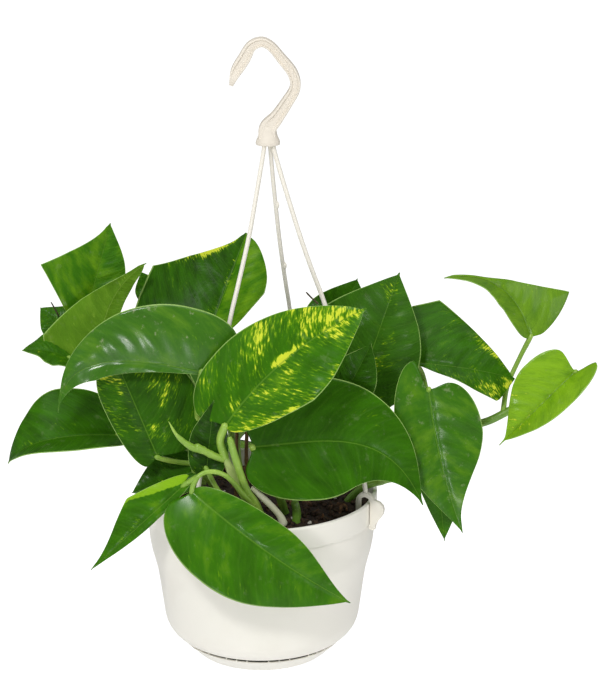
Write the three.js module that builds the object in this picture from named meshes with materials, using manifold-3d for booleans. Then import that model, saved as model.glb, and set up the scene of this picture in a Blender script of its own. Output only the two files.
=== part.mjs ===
// A potted golden pothos in a white plastic hanging pot with a clipped-on saucer and a
// three-strand hanger. Millimetres, +Z up. The origin is the point where the hook hangs:
// the inner top of its crook. Inside the model everything is placed in the pot's frame,
// whose origin is the centre of the rim's top plane, with X to the right and Y to the back.

import * as THREE from 'three';
import { mergeVertices } from 'three/addons/utils/BufferGeometryUtils.js';
import Module from 'manifold-3d';

const wasm = await Module();
wasm.setup();

// Driving dimensions

const FIT_GAP = 0.3;              // between pieces that rest on each other
const ROUND_SIDES = 40;           // sides of everything turned round the pot's axis
const HANG_POINT = [1.8, 0, 297.8];

const RIM_RADIUS = 77.5;
const RIM_BAND = 15;
const WALL = 1.9;
const POT_HEIGHT = 102;
const POT_FLOOR = 2;
const FLOOR_RAISE = 2;
const DRAIN_HOLE_RADIUS = 4;
const DRAIN_HOLES = 6;
const DRAIN_CIRCLE = 44;

const SAUCER_GAP = 0.7;
const SAUCER_HEIGHT = 11.5;
const SAUCER_LIP = 55.6;
const SAUCER_FOOT = 43.6;
const SAUCER_WALL = 1.8;
const SPACER_COUNT = 48;
const POST_RADIUS = 2.5;
const POST_HEAD = 4;
const POST_CIRCLE = 26;
const POSTS = 3;

const SOIL_EDGE = -12;
const SOIL_MOUND = 6;
const SOIL_ROUGHNESS = 0.9;
const STEM_CLEARANCE = 0.5;

const HOOK_BASE = [5.3, 234.5];   // x and z of the underside of the collar
const HOOK_THICKNESS = 8;
const HOOK_GROOVE = 1.2;
const COLLAR_RADIUS = 7.9;
const COLLAR_FLAT = 0.85;         // depth of the collar against its width

const STRAND_WIDTH = 3.4;
const STRAND_DEPTH = 2.4;
const STRAND_SOCKET = 4;
const CLIP_OUTER = 6.6;
const CLIP_INNER = 3.4;
const CLIP_CENTRE = 74.5;         // radius of the arch's middle from the pot's axis
const CLIP_RISE = 0.6;

const LEAF_THICKNESS = 0.9;
const LEAF_GRID = [7, 6];         // rows and columns of a leaf's surface
const SMALL_LEAF_GRID = [5, 4];
const SMALL_LEAF = 45;            // a leaf narrower than this is small
const STEM_SIDES = 6;
const STALK_SIDES = 5;

// Finishes

const finish = (color, roughness) => new THREE.MeshStandardMaterial({ color, roughness, metalness: 0 });
const WHITE_PLASTIC = { color: 0xf1efe9, roughness: 0.35 };
const CREAM_PLASTIC = { color: 0xece5d6, roughness: 0.4 };
const POTTING_SOIL = { color: 0x2b1c12, roughness: 0.95 };
const LEAF_GREEN = { color: 0x3d7d12, roughness: 0.35 };

const model = new THREE.Group();
const potFrame = new THREE.Group();
potFrame.position.set(-HANG_POINT[0], -HANG_POINT[1], -HANG_POINT[2]);
model.add(potFrame);

// Solids: three.js geometry in and out of the boolean library

function toSolid(geometry) {
  const bare = new THREE.BufferGeometry();
  bare.setAttribute('position', geometry.getAttribute('position'));
  bare.setIndex(geometry.getIndex());
  const merged = mergeVertices(bare, 1e-4);
  const vertProperties = new Float32Array(merged.getAttribute('position').array);
  const triVerts = [];
  const index = merged.getIndex().array;
  for (let i = 0; i < index.length; i += 3) {
    const [a, b, c] = [index[i], index[i + 1], index[i + 2]];
    if (a !== b && b !== c && a !== c) triVerts.push(a, b, c);
  }
  const mesh = new wasm.Mesh({ numProp: 3, vertProperties, triVerts: new Uint32Array(triVerts) });
  return new wasm.Manifold(mesh);
}

function toGeometry(solid) {
  const mesh = solid.getMesh();
  const geometry = new THREE.BufferGeometry();
  geometry.setAttribute('position', new THREE.BufferAttribute(new Float32Array(mesh.vertProperties), 3));
  geometry.setIndex(new THREE.BufferAttribute(new Uint32Array(mesh.triVerts), 1));
  geometry.computeVertexNormals();
  return geometry;
}

function addPiece(name, solid, look) {
  const mesh = new THREE.Mesh(toGeometry(solid), finish(look.color, look.roughness));
  mesh.name = name;
  potFrame.add(mesh);
}

// A turned body from a closed profile of [radius, height] points.
function turned(profile, sides = ROUND_SIDES) {
  const geometry = new THREE.LatheGeometry(profile.map(([r, z]) => new THREE.Vector2(r, z)), sides);
  return geometry.rotateX(Math.PI / 2);
}

function upright(radius, bottom, top, x, y, sides = 10) {
  const geometry = new THREE.CylinderGeometry(radius, radius, top - bottom, sides);
  geometry.rotateX(Math.PI / 2);
  geometry.translate(x, y, (top + bottom) / 2);
  return toSolid(geometry);
}

const vector = ([x, y, z]) => new THREE.Vector3(x, y, z);
const smoothCurve = (points) => new THREE.CatmullRomCurve3(points.map(vector), false, 'centripetal');

// A round tube of one radius along a smooth curve through the points given.
function tubeGeometry(points, radius, sides) {
  const curve = smoothCurve(points);
  const section = new THREE.Shape();
  for (let i = 0; i < sides; i += 1) {
    const angle = (2 * Math.PI * i) / sides;
    const [x, y] = [radius * Math.cos(angle), radius * Math.sin(angle)];
    if (i === 0) section.moveTo(x, y);
    else section.lineTo(x, y);
  }
  section.closePath();
  const steps = Math.max(2, Math.round(curve.getLength() / 15));
  return new THREE.ExtrudeGeometry(section, { steps, extrudePath: curve, bevelEnabled: false });
}

const tube = (points, radius, sides = STEM_SIDES) => toSolid(tubeGeometry(points, radius, sides));

// The hole for a stem: the stem's own shape, wider by the clearance and a little deeper.
function stemHole({ route, radius }) {
  const geometry = tubeGeometry(route, radius + STEM_CLEARANCE, STEM_SIDES);
  const place = geometry.getAttribute('position');
  for (let i = 0; i < place.count; i += 1) {
    if (place.getZ(i) < route[0][2] + 0.1) place.setZ(i, place.getZ(i) - STEM_CLEARANCE);
  }
  return toSolid(geometry);
}

// Pot

function potProfile() {
  const outer = [
    [55, -POT_HEIGHT + 0.4], [60, -98.6], [64, -93.6], [65.9, -87.5], [70.3, -55],
    [73.8, -41], [75.4, -31], [76, -18], [76, -RIM_BAND - 0.4], [RIM_RADIUS, -RIM_BAND],
    [RIM_RADIUS, -0.8], [RIM_RADIUS - 0.8, 0],
  ];
  const inner = [
    [RIM_RADIUS - 2.4, 0], [76 - WALL, -18], [75.4 - WALL, -31], [73.8 - WALL, -41],
    [70.3 - WALL, -55], [65.9 - WALL, -87.5],
    [58.5, -POT_HEIGHT + FLOOR_RAISE + POT_FLOOR],
  ];
  const bottom = -POT_HEIGHT + FLOOR_RAISE;
  return { outer, inner, bottom, floorTop: bottom + POT_FLOOR };
}

const pot = potProfile();

function around(count, radius, offset, make) {
  return Array.from({ length: count }, (_, i) => {
    const angle = (2 * Math.PI * i) / count + offset;
    return make(radius * Math.cos(angle), radius * Math.sin(angle), angle);
  });
}

function buildPot() {
  let solid = toSolid(turned([
    [0, pot.bottom], [50, pot.bottom], [52, -POT_HEIGHT], ...pot.outer, ...pot.inner, [0, pot.floorTop],
  ]));
  const holes = [
    ...around(DRAIN_HOLES, DRAIN_CIRCLE, 0.3, (x, y) => upright(DRAIN_HOLE_RADIUS, -110, -90, x, y)),
    ...around(POSTS, POST_CIRCLE, 0.8, (x, y) => upright(POST_RADIUS + FIT_GAP, -110, -90, x, y)),
  ];
  for (const hole of holes) solid = solid.subtract(hole);
  addPiece('pot', solid, WHITE_PLASTIC);
}

// Saucer: a shallow dish held under the pot by three headed posts, with spacer ribs on its lip

function buildSaucer() {
  const top = -POT_HEIGHT - SAUCER_GAP;
  const foot = top - SAUCER_HEIGHT;
  let solid = toSolid(turned([
    [0, foot + 1.2], [38, foot + 1.2], [40, foot], [SAUCER_FOOT, foot], [50, foot + 5.6],
    [53.6, foot + 8.8], [SAUCER_LIP, top], [SAUCER_LIP - SAUCER_WALL, top], [51.8, foot + 9.6], [48.4, foot + 6.4],
    [43, foot + 2.6], [0, foot + 2.6],
  ]));
  for (let k = 0; k < SPACER_COUNT; k += 1) {
    if (k % 4 === 3) continue;
    const angle = (2 * Math.PI * (k + 0.7)) / SPACER_COUNT - Math.PI / 2;
    const rib = new THREE.BoxGeometry(1.2, 0.9, SAUCER_GAP - FIT_GAP + 1);
    rib.rotateZ(angle);
    const middle = SAUCER_LIP - SAUCER_WALL / 2;
    rib.translate(middle * Math.cos(angle), middle * Math.sin(angle), top + (SAUCER_GAP - FIT_GAP - 1) / 2);
    solid = solid.add(toSolid(rib));
  }
  for (const post of around(POSTS, POST_CIRCLE, 0.8, (x, y) => [
    upright(POST_RADIUS, foot + 2, pot.floorTop + 1, x, y),
    upright(POST_HEAD, pot.floorTop + FIT_GAP, pot.floorTop + 2.3, x, y),
  ])) solid = solid.add(post[0]).add(post[1]);
  addPiece('saucer', solid, WHITE_PLASTIC);
}

// Soil: a rough mound that fills the pot, with a plain hole for each stem

function roughness(x, y) {
  const waveX = Math.sin(x * 0.31 + 1.7 * Math.sin(y * 0.23));
  const waveY = Math.cos(y * 0.37 + 1.3 * Math.sin(x * 0.19));
  return (SOIL_ROUGHNESS * (waveX + waveY)) / 2;
}

function buildSoil(rootedStems) {
  const bottom = pot.floorTop + FIT_GAP;
  const side = pot.inner.slice(2, 6).reverse().map(([r, z]) => [r - FIT_GAP, z]);
  const rings = [62, 44, 25];
  const top = rings.map((r) => [r, SOIL_EDGE + SOIL_MOUND * (1 - (r / RIM_RADIUS) ** 2)]);
  const geometry = turned([
    [0, bottom], [58, bottom], ...side, [73.8, SOIL_EDGE], ...top, [0, SOIL_EDGE + SOIL_MOUND],
  ]);
  const place = geometry.getAttribute('position');
  for (let i = 0; i < place.count; i += 1) {
    const [x, y, z] = [place.getX(i), place.getY(i), place.getZ(i)];
    if (z > SOIL_EDGE + 0.1) place.setZ(i, z + roughness(x, y));
  }
  let solid = toSolid(geometry);
  for (const pocket of around(POSTS, POST_CIRCLE, 0.8, (x, y) => (
    upright(POST_HEAD + FIT_GAP, bottom - 1, pot.floorTop + 2.3 + FIT_GAP, x, y)
  ))) solid = solid.subtract(pocket);
  for (const stem of rootedStems) solid = solid.subtract(stemHole(stem));
  addPiece('soil', solid, POTTING_SOIL);
}

// Hook: a bent bar with a groove along both faces, rising out of a flared collar

// Each station is [x from the collar's middle, z above its underside, half the bar's width].
const HOOK_LINE = [
  [0, 2, 5.6], [-0.3, 10, 5.4], [5.5, 17.5, 4.3], [11.2, 25.9, 3.8], [17.4, 37.1, 3.5], [16.2, 45.5, 3.3],
  [8.6, 55.8, 3.2], [1.6, 63.8, 2.9], [-3.5, 66.1, 2.8], [-9.8, 63.8, 3.2], [-14.9, 55.4, 3.9],
  [-20.3, 46.7, 3.6], [-23.2, 38.4, 1.3],
];

function hookOutline(inset, from, to) {
  const middle = smoothCurve(HOOK_LINE.map(([x, z]) => [x, 0, z]));
  const width = smoothCurve(HOOK_LINE.map(([, , w], i) => [i, w, 0]));
  const steps = 18;
  const left = [];
  const right = [];
  for (let i = 0; i <= steps; i += 1) {
    const t = from + ((to - from) * i) / steps;
    const p = middle.getPoint(t);
    const d = middle.getTangent(t);
    const half = width.getPoint(t).y - inset;
    left.push(new THREE.Vector2(p.x - d.z * half, p.z + d.x * half));
    right.unshift(new THREE.Vector2(p.x + d.z * half, p.z - d.x * half));
  }
  return new THREE.Shape([...left, ...right]);
}

// A flat outline in the X–Z plane, given a depth along Y and centred on it.
function plate(shape, depth, bevel = 0) {
  const geometry = new THREE.ExtrudeGeometry(shape, {
    depth: depth - 2 * bevel,
    curveSegments: 6,
    bevelEnabled: bevel > 0,
    bevelThickness: bevel,
    bevelSize: bevel,
    bevelOffset: -bevel,
    bevelSegments: 1,
  });
  geometry.translate(0, 0, -(depth - 2 * bevel) / 2);
  return geometry.rotateX(Math.PI / 2);
}

function buildHook(strandPlanes) {
  const [x, z] = HOOK_BASE;
  const collar = turned([
    [0, 0], [COLLAR_RADIUS, 0], [COLLAR_RADIUS, 3.6], [6.9, 5.4], [5.9, 7.6], [5.2, 12.5], [0, 12.5],
  ], 20);
  const bar = plate(hookOutline(0, 0, 1), HOOK_THICKNESS, 0.8).translate(x, 0, z);
  let solid = toSolid(bar).add(toSolid(collar.scale(1, COLLAR_FLAT, 1).translate(x, 0, z)));
  for (const side of [-1, 1]) {
    const groove = plate(hookOutline(1.5, 0.06, 0.95), 2 * HOOK_GROOVE);
    solid = solid.subtract(toSolid(groove.translate(x, (side * HOOK_THICKNESS) / 2, z)));
  }
  for (const plane of strandPlanes) {
    const socket = new THREE.BoxGeometry(STRAND_WIDTH + 1.3, STRAND_DEPTH + 2 * FIT_GAP, 2 * STRAND_SOCKET);
    socket.translate(plane.route[0][0] + 0.2, 0, z);
    solid = solid.subtract(inPlane(socket, plane));
  }
  addPiece('hanger_hook', solid, CREAM_PLASTIC);
}

// Strands: each lies in an upright plane through the collar's axis and ends in a clip over the rim

// Each route is [distance from the collar's axis, height], from the collar down to the clip.
const STRANDS = [
  {
    name: 'hanger_strand_left',
    azimuth: 236,
    route: [
      [3.7, 238.2], [3.7, 234.4], [4.3, 231.6], [9.7, 212.4], [14.8, 195], [18.9, 181.2], [25, 164.7],
      [32.5, 146], [40, 127.4], [73.2, 25.5],
    ],
  },
  {
    name: 'hanger_strand_back',
    azimuth: 68,
    route: [
      [3.7, 238.2], [3.7, 234.4], [4.3, 231.6], [9.9, 209], [15.5, 189], [21.5, 169], [28.8, 148.6],
      [36, 130.5], [42.6, 115], [66.5, 34],
    ],
  },
  {
    name: 'hanger_strand_right',
    azimuth: -22,
    route: [
      [3.7, 238.2], [3.7, 234.4], [4.2, 231.6], [8, 219], [14.7, 198.7], [23.8, 172.5], [30.8, 154.6],
      [39.1, 134.7], [52, 96], [63, 52],
    ],
  },
];

function strandPlane({ name, azimuth, route }) {
  const angle = THREE.MathUtils.degToRad(azimuth);
  const [x, y] = [CLIP_CENTRE * Math.cos(angle) - HOOK_BASE[0], CLIP_CENTRE * Math.sin(angle)];
  return { name, route, reach: Math.hypot(x, y), turn: Math.atan2(y, x) };
}

function inPlane(geometry, plane) {
  return toSolid(geometry.rotateZ(plane.turn).translate(HOOK_BASE[0], 0, 0));
}

function strandOutline(plane) {
  const points = [...plane.route, [plane.reach, CLIP_RISE + CLIP_OUTER - 1]];
  const curve = smoothCurve(points.map(([q, z]) => [q, 0, z]));
  const left = [];
  const right = [];
  const steps = 20;
  for (let i = 0; i <= steps; i += 1) {
    const p = curve.getPointAt(i / steps);
    const d = curve.getTangentAt(i / steps);
    left.push(new THREE.Vector2(p.x + (d.z * STRAND_WIDTH) / 2, p.z - (d.x * STRAND_WIDTH) / 2));
    right.unshift(new THREE.Vector2(p.x - (d.z * STRAND_WIDTH) / 2, p.z + (d.x * STRAND_WIDTH) / 2));
  }
  return new THREE.Shape([...left, ...right]);
}

function clipOutline(reach) {
  const shape = new THREE.Shape();
  const q = reach;
  shape.moveTo(q - CLIP_OUTER, -8.5);
  shape.lineTo(q - CLIP_OUTER, CLIP_RISE);
  shape.absarc(q, CLIP_RISE, CLIP_OUTER, Math.PI, 0.35, true);
  shape.quadraticCurveTo(q + 14, 0, q + 12.6, -6.5);
  shape.lineTo(q + 8.8, -12);
  shape.lineTo(q + 7, -18);
  shape.lineTo(q + 4.6, -18.6);
  shape.lineTo(q + 2.6, -17.4);
  shape.lineTo(q + 2.6, -16.2);
  shape.lineTo(q + CLIP_INNER, -15.6);
  shape.lineTo(q + CLIP_INNER, CLIP_RISE);
  shape.absarc(q, CLIP_RISE, CLIP_INNER, 0, Math.PI, false);
  shape.lineTo(q - CLIP_INNER, -8.5);
  shape.closePath();
  return shape;
}

function buildStrand(plane) {
  const strand = plate(strandOutline(plane), STRAND_DEPTH);
  const clip = plate(clipOutline(plane.reach), STRAND_DEPTH + 0.8);
  addPiece(plane.name, inPlane(strand, plane).add(inPlane(clip, plane)), CREAM_PLASTIC);
}

// Leaves

// One blade is a grid of stations along the midrib and across it. Sides are named as seen
// from above the upper face with the tip away. Pairs are [left, right] or [base end, tip end].
const LEAF_DEFAULTS = {
  reach: [0.333, 0.667],  // how far along the leaf the midrib's two handles stand
  rise: [0, 0],           // how far the handles stand above the chord
  sweep: [0, 0],          // how far they stand to the right of it
  fold: [10, 10],         // how far each half is raised about the midrib, degrees
  curl: [-15, -15],       // how much each half bends on from there to its margin, degrees
  twist: 0,               // turn of the face from base to tip, degrees
  lobe: [0.08, 0.08],     // how far the basal lobes reach back, in leaf lengths
  root: [0.42, 0.42],     // half-width at the base against the widest
  widest: [0.3, 0.3],     // where the leaf is widest, from base to tip
  taper: [1.05, 1.05],    // how hollow the margin runs to the tip
  corner: [0, 0],         // 0 is a rounded side, 1 an angular one
  wave: 1.5,              // height of the margin's waves
  waves: 1.5,
};
const WAVE_START = [0.1, 0.6];
const TIP_WIDTH = 0.02;

function halfWidth(a, k, leaf) {
  const [root, widest, taper, corner] = [leaf.root[k], leaf.widest[k], leaf.taper[k], leaf.corner[k]];
  if (a < widest) {
    const x = a / widest;
    return root + (1 - root) * ((1 - corner) * Math.sqrt(1 - (1 - x) ** 2) + corner * x);
  }
  const x = Math.min(1, (a - widest) / (1 - widest));
  const width = (1 - corner) * Math.cos((Math.PI / 2) * x) ** taper + corner * (1 - x) ** (1.2 * taper);
  return Math.max(TIP_WIDTH, width);
}

function leafFrame(leaf) {
  const base = vector(leaf.base);
  const tip = vector(leaf.tip);
  const along = tip.clone().sub(base);
  const length = along.length();
  along.normalize();
  const up = vector(leaf.face);
  up.addScaledVector(along, -up.dot(along)).normalize();
  const side = along.clone().cross(up);
  const handles = [0, 1].map((i) => base.clone()
    .addScaledVector(along, length * leaf.reach[i])
    .addScaledVector(up, leaf.rise[i])
    .addScaledVector(side, leaf.sweep[i]));
  const midrib = new THREE.CubicBezierCurve3(base, handles[0], handles[1], tip);
  return { base, handles, midrib, up, side };
}

function leafGrid(leaf) {
  const [rows, columns] = leaf.left + leaf.right < SMALL_LEAF ? SMALL_LEAF_GRID : LEAF_GRID;
  const { base, handles, midrib, up, side } = leafFrame(leaf);
  const start = handles[0].clone().sub(base).multiplyScalar(3);
  const grid = [];
  for (let r = 0; r <= rows; r += 1) {
    const a = (r / rows) ** 1.35;
    const tangent = midrib.getTangent(Math.min(a, 0.999));
    const turn = THREE.MathUtils.degToRad(leaf.twist) * a;
    const normal = up.clone().multiplyScalar(Math.cos(turn)).addScaledVector(side, Math.sin(turn));
    const out = tangent.clone().cross(normal).normalize();
    normal.copy(out).cross(tangent);
    const row = [];
    for (let c = 0; c <= columns; c += 1) {
      const across = -1 + (2 * c) / columns;
      const k = across > 0 ? 1 : 0;
      const t = Math.abs(across);
      const fold = THREE.MathUtils.degToRad(leaf.fold[k]);
      const curl = THREE.MathUtils.degToRad(leaf.curl[k] || 0.1);
      const outward = (Math.sin(fold + curl * t) - Math.sin(fold)) / curl;
      const upward = (Math.cos(fold) - Math.cos(fold + curl * t)) / curl;
      const half = (k ? leaf.right : leaf.left) * halfWidth(a, k, leaf);
      const swing = Math.sin(2 * Math.PI * (leaf.waves * a + WAVE_START[k]));
      const ripple = leaf.wave * t * t * swing * Math.sin(Math.PI * a);
      const back = a - (leaf.lobe[k] * (1 - Math.cos(Math.PI * t)) / 2) * (1 - a) ** 3;
      const point = back < 0 ? base.clone().addScaledVector(start, back) : midrib.getPoint(back);
      point.addScaledVector(out, Math.sign(across) * half * outward);
      point.addScaledVector(normal, half * upward + ripple);
      row.push(point);
    }
    grid.push(row);
  }
  return grid;
}

// The grid gets its thickness along the surface's own normals. Both faces are split alike.
function bladeSolid(grid) {
  const rows = grid.length;
  const columns = grid[0].length;
  const faces = [[], []];
  for (let r = 0; r < rows; r += 1) {
    for (let c = 0; c < columns; c += 1) {
      const [r0, r1] = [Math.max(r - 1, 0), Math.min(r + 1, rows - 1)];
      const [c0, c1] = [Math.max(c - 1, 0), Math.min(c + 1, columns - 1)];
      const down = grid[r1][c].clone().sub(grid[r0][c]);
      const over = grid[r][c1].clone().sub(grid[r][c0]);
      const normal = over.cross(down).normalize().multiplyScalar(LEAF_THICKNESS / 2);
      faces[0].push(grid[r][c].clone().add(normal));
      faces[1].push(grid[r][c].clone().sub(normal));
    }
  }
  const count = rows * columns;
  const points = [...faces[0], ...faces[1]].flatMap((p) => [p.x, p.y, p.z]);
  const index = [];
  const at = (r, c) => r * columns + c;
  for (let r = 0; r + 1 < rows; r += 1) {
    for (let c = 0; c + 1 < columns; c += 1) {
      const [p, q, s, t] = [at(r, c), at(r, c + 1), at(r + 1, c + 1), at(r + 1, c)];
      index.push(p, q, s, p, s, t);
      index.push(count + p, count + s, count + q, count + p, count + t, count + s);
    }
  }
  const rim = [];
  for (let c = 0; c < columns; c += 1) rim.push(at(0, c));
  for (let r = 1; r < rows; r += 1) rim.push(at(r, columns - 1));
  for (let c = columns - 2; c >= 0; c -= 1) rim.push(at(rows - 1, c));
  for (let r = rows - 2; r > 0; r -= 1) rim.push(at(r, 0));
  for (let i = 0; i < rim.length; i += 1) {
    const [p, q] = [rim[i], rim[(i + 1) % rim.length]];
    index.push(p, count + p, count + q, p, count + q, q);
  }
  const geometry = new THREE.BufferGeometry();
  geometry.setAttribute('position', new THREE.Float32BufferAttribute(points, 3));
  geometry.setIndex(index);
  return toSolid(geometry);
}

// The stalk runs a little past the leaf's base, through the blade.
function stalkSolid(leaf) {
  const base = vector(leaf.base);
  const inside = base.clone().sub(vector(leaf.stalk.at(-1))).setLength(STALK_INSET).add(base);
  const route = [...leaf.stalk, base.toArray(), inside.toArray()];
  return tube(route, leaf.stalkRadius ?? STALK_RADIUS, STALK_SIDES);
}

const STALK_RADIUS = 1.7;
const STALK_INSET = 2.5;
const STEM_RADIUS = 2.6;

// Vines. A stem starts in the soil: its first two points stand upright in a plain hole.
// A stalk starts inside its stem and ends at the leaf's base.
const VINES = [
  {
    name: 'vine_front',
    stems: [
      {
        radius: 3.2,
        route: [[-1, -44, -28], [-1, -44, -12], [-6, -50, 6], [-17, -58, 30], [-23, -63, 48]],
      },
      {
        radius: 2.6,
        route: [
          [-1, -44, -30], [-1, -44, -10], [-12, -55, 8], [-24, -63, 22], [-33, -69, 32], [-41, -73, 34],
        ],
      },
      { radius: 2.4, route: [[-23, -62, 43], [-30, -65, 47], [-41, -69, 55]] },
      { radius: 1.3, route: [[-38, -68, 53], [-48, -71, 60], [-54, -73, 66], [-57, -74, 73]] },
    ],
    leaves: [
      { base: [-22, -64, 66], tip: [67, -72, 147], face: [-0.2, -0.85, 0.45], left: 35, right: 33,
        sweep: [-9, -9], rise: [6, 6], widest: [0.22, 0.5], taper: [0.9, 0.8], root: [0.5, 0.08],
        lobe: [0.05, 0], corner: [0, 0.35],
        stalk: [[-22, -62, 44], [-25, -63, 56]], stalkRadius: 2.5 },
      { base: [-48, -74, 30], tip: [-108, -82, -25], face: [0.1, -0.9, 0.4], left: 5, right: 18.5,
        fold: [20, 5], widest: [0.4, 0.42], root: [0.2, 0.15], corner: [0, 0.6], taper: [1.05, 1.6],
        stalk: [[-33, -69, 32], [-41, -73, 34]], stalkRadius: 2.2 },
      { base: [-43, -77, 27], tip: [58, -86, -46], face: [-0.05, -0.93, 0.35], left: 19.5, right: 40,
        sweep: [4, 5], rise: [14, 8], widest: [0.47, 0.3], root: [0.03, 0.38], lobe: [0, 0.04],
        taper: [1.3, 1.05],
        stalk: [[-33, -69, 32], [-40, -73, 33]], stalkRadius: 2 },
      { base: [-34, -61, 36], tip: [-29, -59, 82], face: [0, -0.9, 0.3], left: 13, right: 13,
        stalk: [[-12, -52, 6], [-26, -60, 20]] },
    ],
  },
  {
    name: 'vine_centre',
    stems: [{ radius: 2.6, route: [[17, -30, -28], [17, -30, -10], [10, -36, 12], [2, -44, 34]] }],
    leaves: [
      { base: [-5, -50, 47], tip: [105, -58, 10], face: [0, -0.9, 0.4], left: 42, right: 38,
        fold: [18, 10],
        sweep: [-16, -45], taper: [1.25, 1.25], lobe: [0.04, 0.04],
        stalk: [[6, -40, 22], [-1, -46, 38]], stalkRadius: 2.1 },
    ],
  },
  {
    name: 'vine_right',
    stems: [{
      radius: 2.6,
      route: [
        [56, -4, -28], [56, -4, -12], [68, -6, 2], [82, -8, 8], [97, -14, 14], [106, -20, 30], [108, -24, 48],
      ],
    }],
    leaves: [
      { base: [109, -32, 80], tip: [132, -44, -15], face: [0, -0.95, 0.25], left: 31, right: 25,
        sweep: [4, 4], lobe: [0.03, 0.2], root: [0.42, 0.32], taper: [1.85, 1.25],
        stalk: [[108, -24, 46], [108, -24, 64], [108, -29, 77]] },
      { base: [113, -16, 54], tip: [122, -20, -31], face: [-0.1, -0.95, 0.2], left: 20, right: 15,
        stalk: [[106, -20, 34], [110, -15, 48]] },
    ],
  },
  {
    name: 'vine_far_right',
    stems: [{
      radius: 2.8,
      route: [
        [44, 24, -28], [44, 24, -10], [58, 24, 14], [88, 18, 30], [122, 8, 38], [149, -2, 47], [162, -3, 54],
        [176, 2, 60],
      ],
    }],
    leaves: [
      { base: [101.4, 10, 84.8], tip: [167.6, 2, 75.6], face: [0.1, -0.75, 0.6], left: 47, right: 19,
        rise: [4, 8], fold: [5, 10], widest: [0.2, 0.87], root: [0.87, 0.05],
        lobe: [0.12, 0], taper: [0.82, 0.8], corner: [1, 1],
        stalk: [[122, 8, 38], [112, 14, 58], [107, 14, 76]] },
      { base: [178, 10, 102], tip: [120, 5, 144], face: [-0.1, -0.95, 0.3], left: 14, right: 36,
        sweep: [20, 22], fold: [35, 10], twist: 50, widest: [0.4, 0.17], lobe: [0, 0],
        root: [0.12, 0.2], corner: [0, 0.8], taper: [1.05, 4],
        stalk: [[160, -3, 53], [163, 3, 70], [171, 8, 88]] },
      { base: [205, -20, 88], tip: [156, -28, 40], face: [0.1, -0.9, 0.3], left: 20, right: 26,
        lobe: [0.2, 0.04], root: [0.4, 0.6], fold: [68, 5], curl: [-20, -15], taper: [1.05, 1.35],
        stalk: [[172, 1, 58], [190, -2, 66], [203, -8, 82]] },
    ],
  },
  {
    name: 'vine_upper_right',
    stems: [{ radius: 2.4, route: [[26, 2, -28], [26, 2, -8], [34, 2, 24], [46, 2, 46]] }],
    leaves: [
      { base: [64, 5, 66], tip: [91, 8, 147], face: [0, -0.85, 0.5], left: 46, right: 33,
        stalk: [[40, 2, 36], [52, 6, 54]] },
      { base: [46, 27, 92], tip: [64, 32, 136], face: [0, -0.8, 0.5], left: 24, right: 24,
        stalk: [[30, 2, 8], [34, 18, 40], [42, 27, 74]] },
      { base: [53, -30, 72], tip: [72, -26, 109], face: [0.1, -0.8, 0.5], left: 16, right: 16,
        stalk: [[36, 2, 28], [43, -14, 42], [50, -26, 61]] },
    ],
  },
  {
    name: 'vine_left',
    stems: [{ radius: 2.6, route: [[-26, -20, -28], [-26, -20, -8], [-34, -26, 16], [-42, -32, 30]] }],
    leaves: [
      { base: [-37, -45, 96], tip: [-128.5, -55, 72], face: [-0.15, -0.9, 0.4], left: 10, right: 40,
        sweep: [12, 44], rise: [5, 12], reach: [0.25, 0.84], fold: [0, 32], curl: [-15, -30],
        root: [0.1, 0.6], widest: [0.65, 0.24], corner: [0.8, 0], taper: [0.8, 1.7], lobe: [0, 0.22],
        stalk: [[-34, -26, 16], [-40, -32, 44], [-40, -40, 76]], stalkRadius: 2.1 },
      { base: [-66, -48, 39], tip: [-101, -30, 120], face: [0.1, -0.95, 0.3], left: 20, right: 41,
        fold: [20, 5], widest: [0.5, 0.3], root: [0.4, 0.4], lobe: [0.03, 0.03],
        stalk: [[-40, -31, 28], [-56, -42, 34]] },
      { base: [-43, -36, 25], tip: [-84, -42, 12], face: [0, -0.8, 0.4], left: 12, right: 18,
        stalk: [[-32, -25, 12], [-40, -33, 22]] },
    ],
  },
  {
    name: 'vine_left_low',
    stems: [{ radius: 2.3, route: [[-46, 2, -28], [-46, 2, -10], [-58, -2, 10], [-76, -10, 28]] }],
    leaves: [
      { base: [-93, -20, 44], tip: [-165, -30, 28], face: [0, -0.7, 0.7], left: 19, right: 36,
        rise: [18, 34], reach: [0.33, 0.8], fold: [45, 5], curl: [-20, -15], root: [0.15, 0.4],
        stalk: [[-72, -8, 24], [-84, -16, 38]] },
    ],
  },
  {
    name: 'vine_upper_left',
    stems: [{
      radius: 2.6,
      route: [[-40, 26, -28], [-40, 26, -10], [-56, 26, 26], [-78, 22, 56], [-98, 16, 74]],
    }],
    leaves: [
      { base: [-118, 25, 108], tip: [-100, 40, 172], face: [0.15, -0.85, 0.5], left: 38, right: 19,
        fold: [15, 10], wave: 0.5, widest: [0.45, 0.5], corner: [1, 0.2], root: [0.15, 0.3], taper: [1.25, 1.05],
        stalk: [[-96, 17, 72], [-112, 22, 92]] },
      { base: [-131, 18, 101], tip: [-147, 25, 118], face: [0.1, -0.8, 0.5], left: 10, right: 16,
        stalk: [[-98, 16, 74], [-120, 16, 88]] },
      { base: [-107, 6, 92], tip: [-75, 16, 151], face: [0.1, 0.95, -0.2], left: 9, right: 38.5,
        fold: [10, 5], widest: [0.12, 0.15], taper: [0.5, 2.1], root: [0.5, 0.8],
        sweep: [10, 13], lobe: [0.03, 0.12], corner: [0, 0.7],
        stalk: [[-86, 20, 64], [-102, 10, 80]] },
      { base: [-126, 5, 89], tip: [-157, 0, 96], face: [0, -0.3, 0.9], left: 14, right: 20,
        rise: [4, 4], stalk: [[-98, 16, 74], [-114, 8, 80]] },
    ],
  },
  {
    name: 'vine_upper_centre',
    stems: [{ radius: 2.4, route: [[-14, 16, -28], [-14, 16, -7], [-22, 16, 40], [-32, 16, 76]] }],
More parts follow.
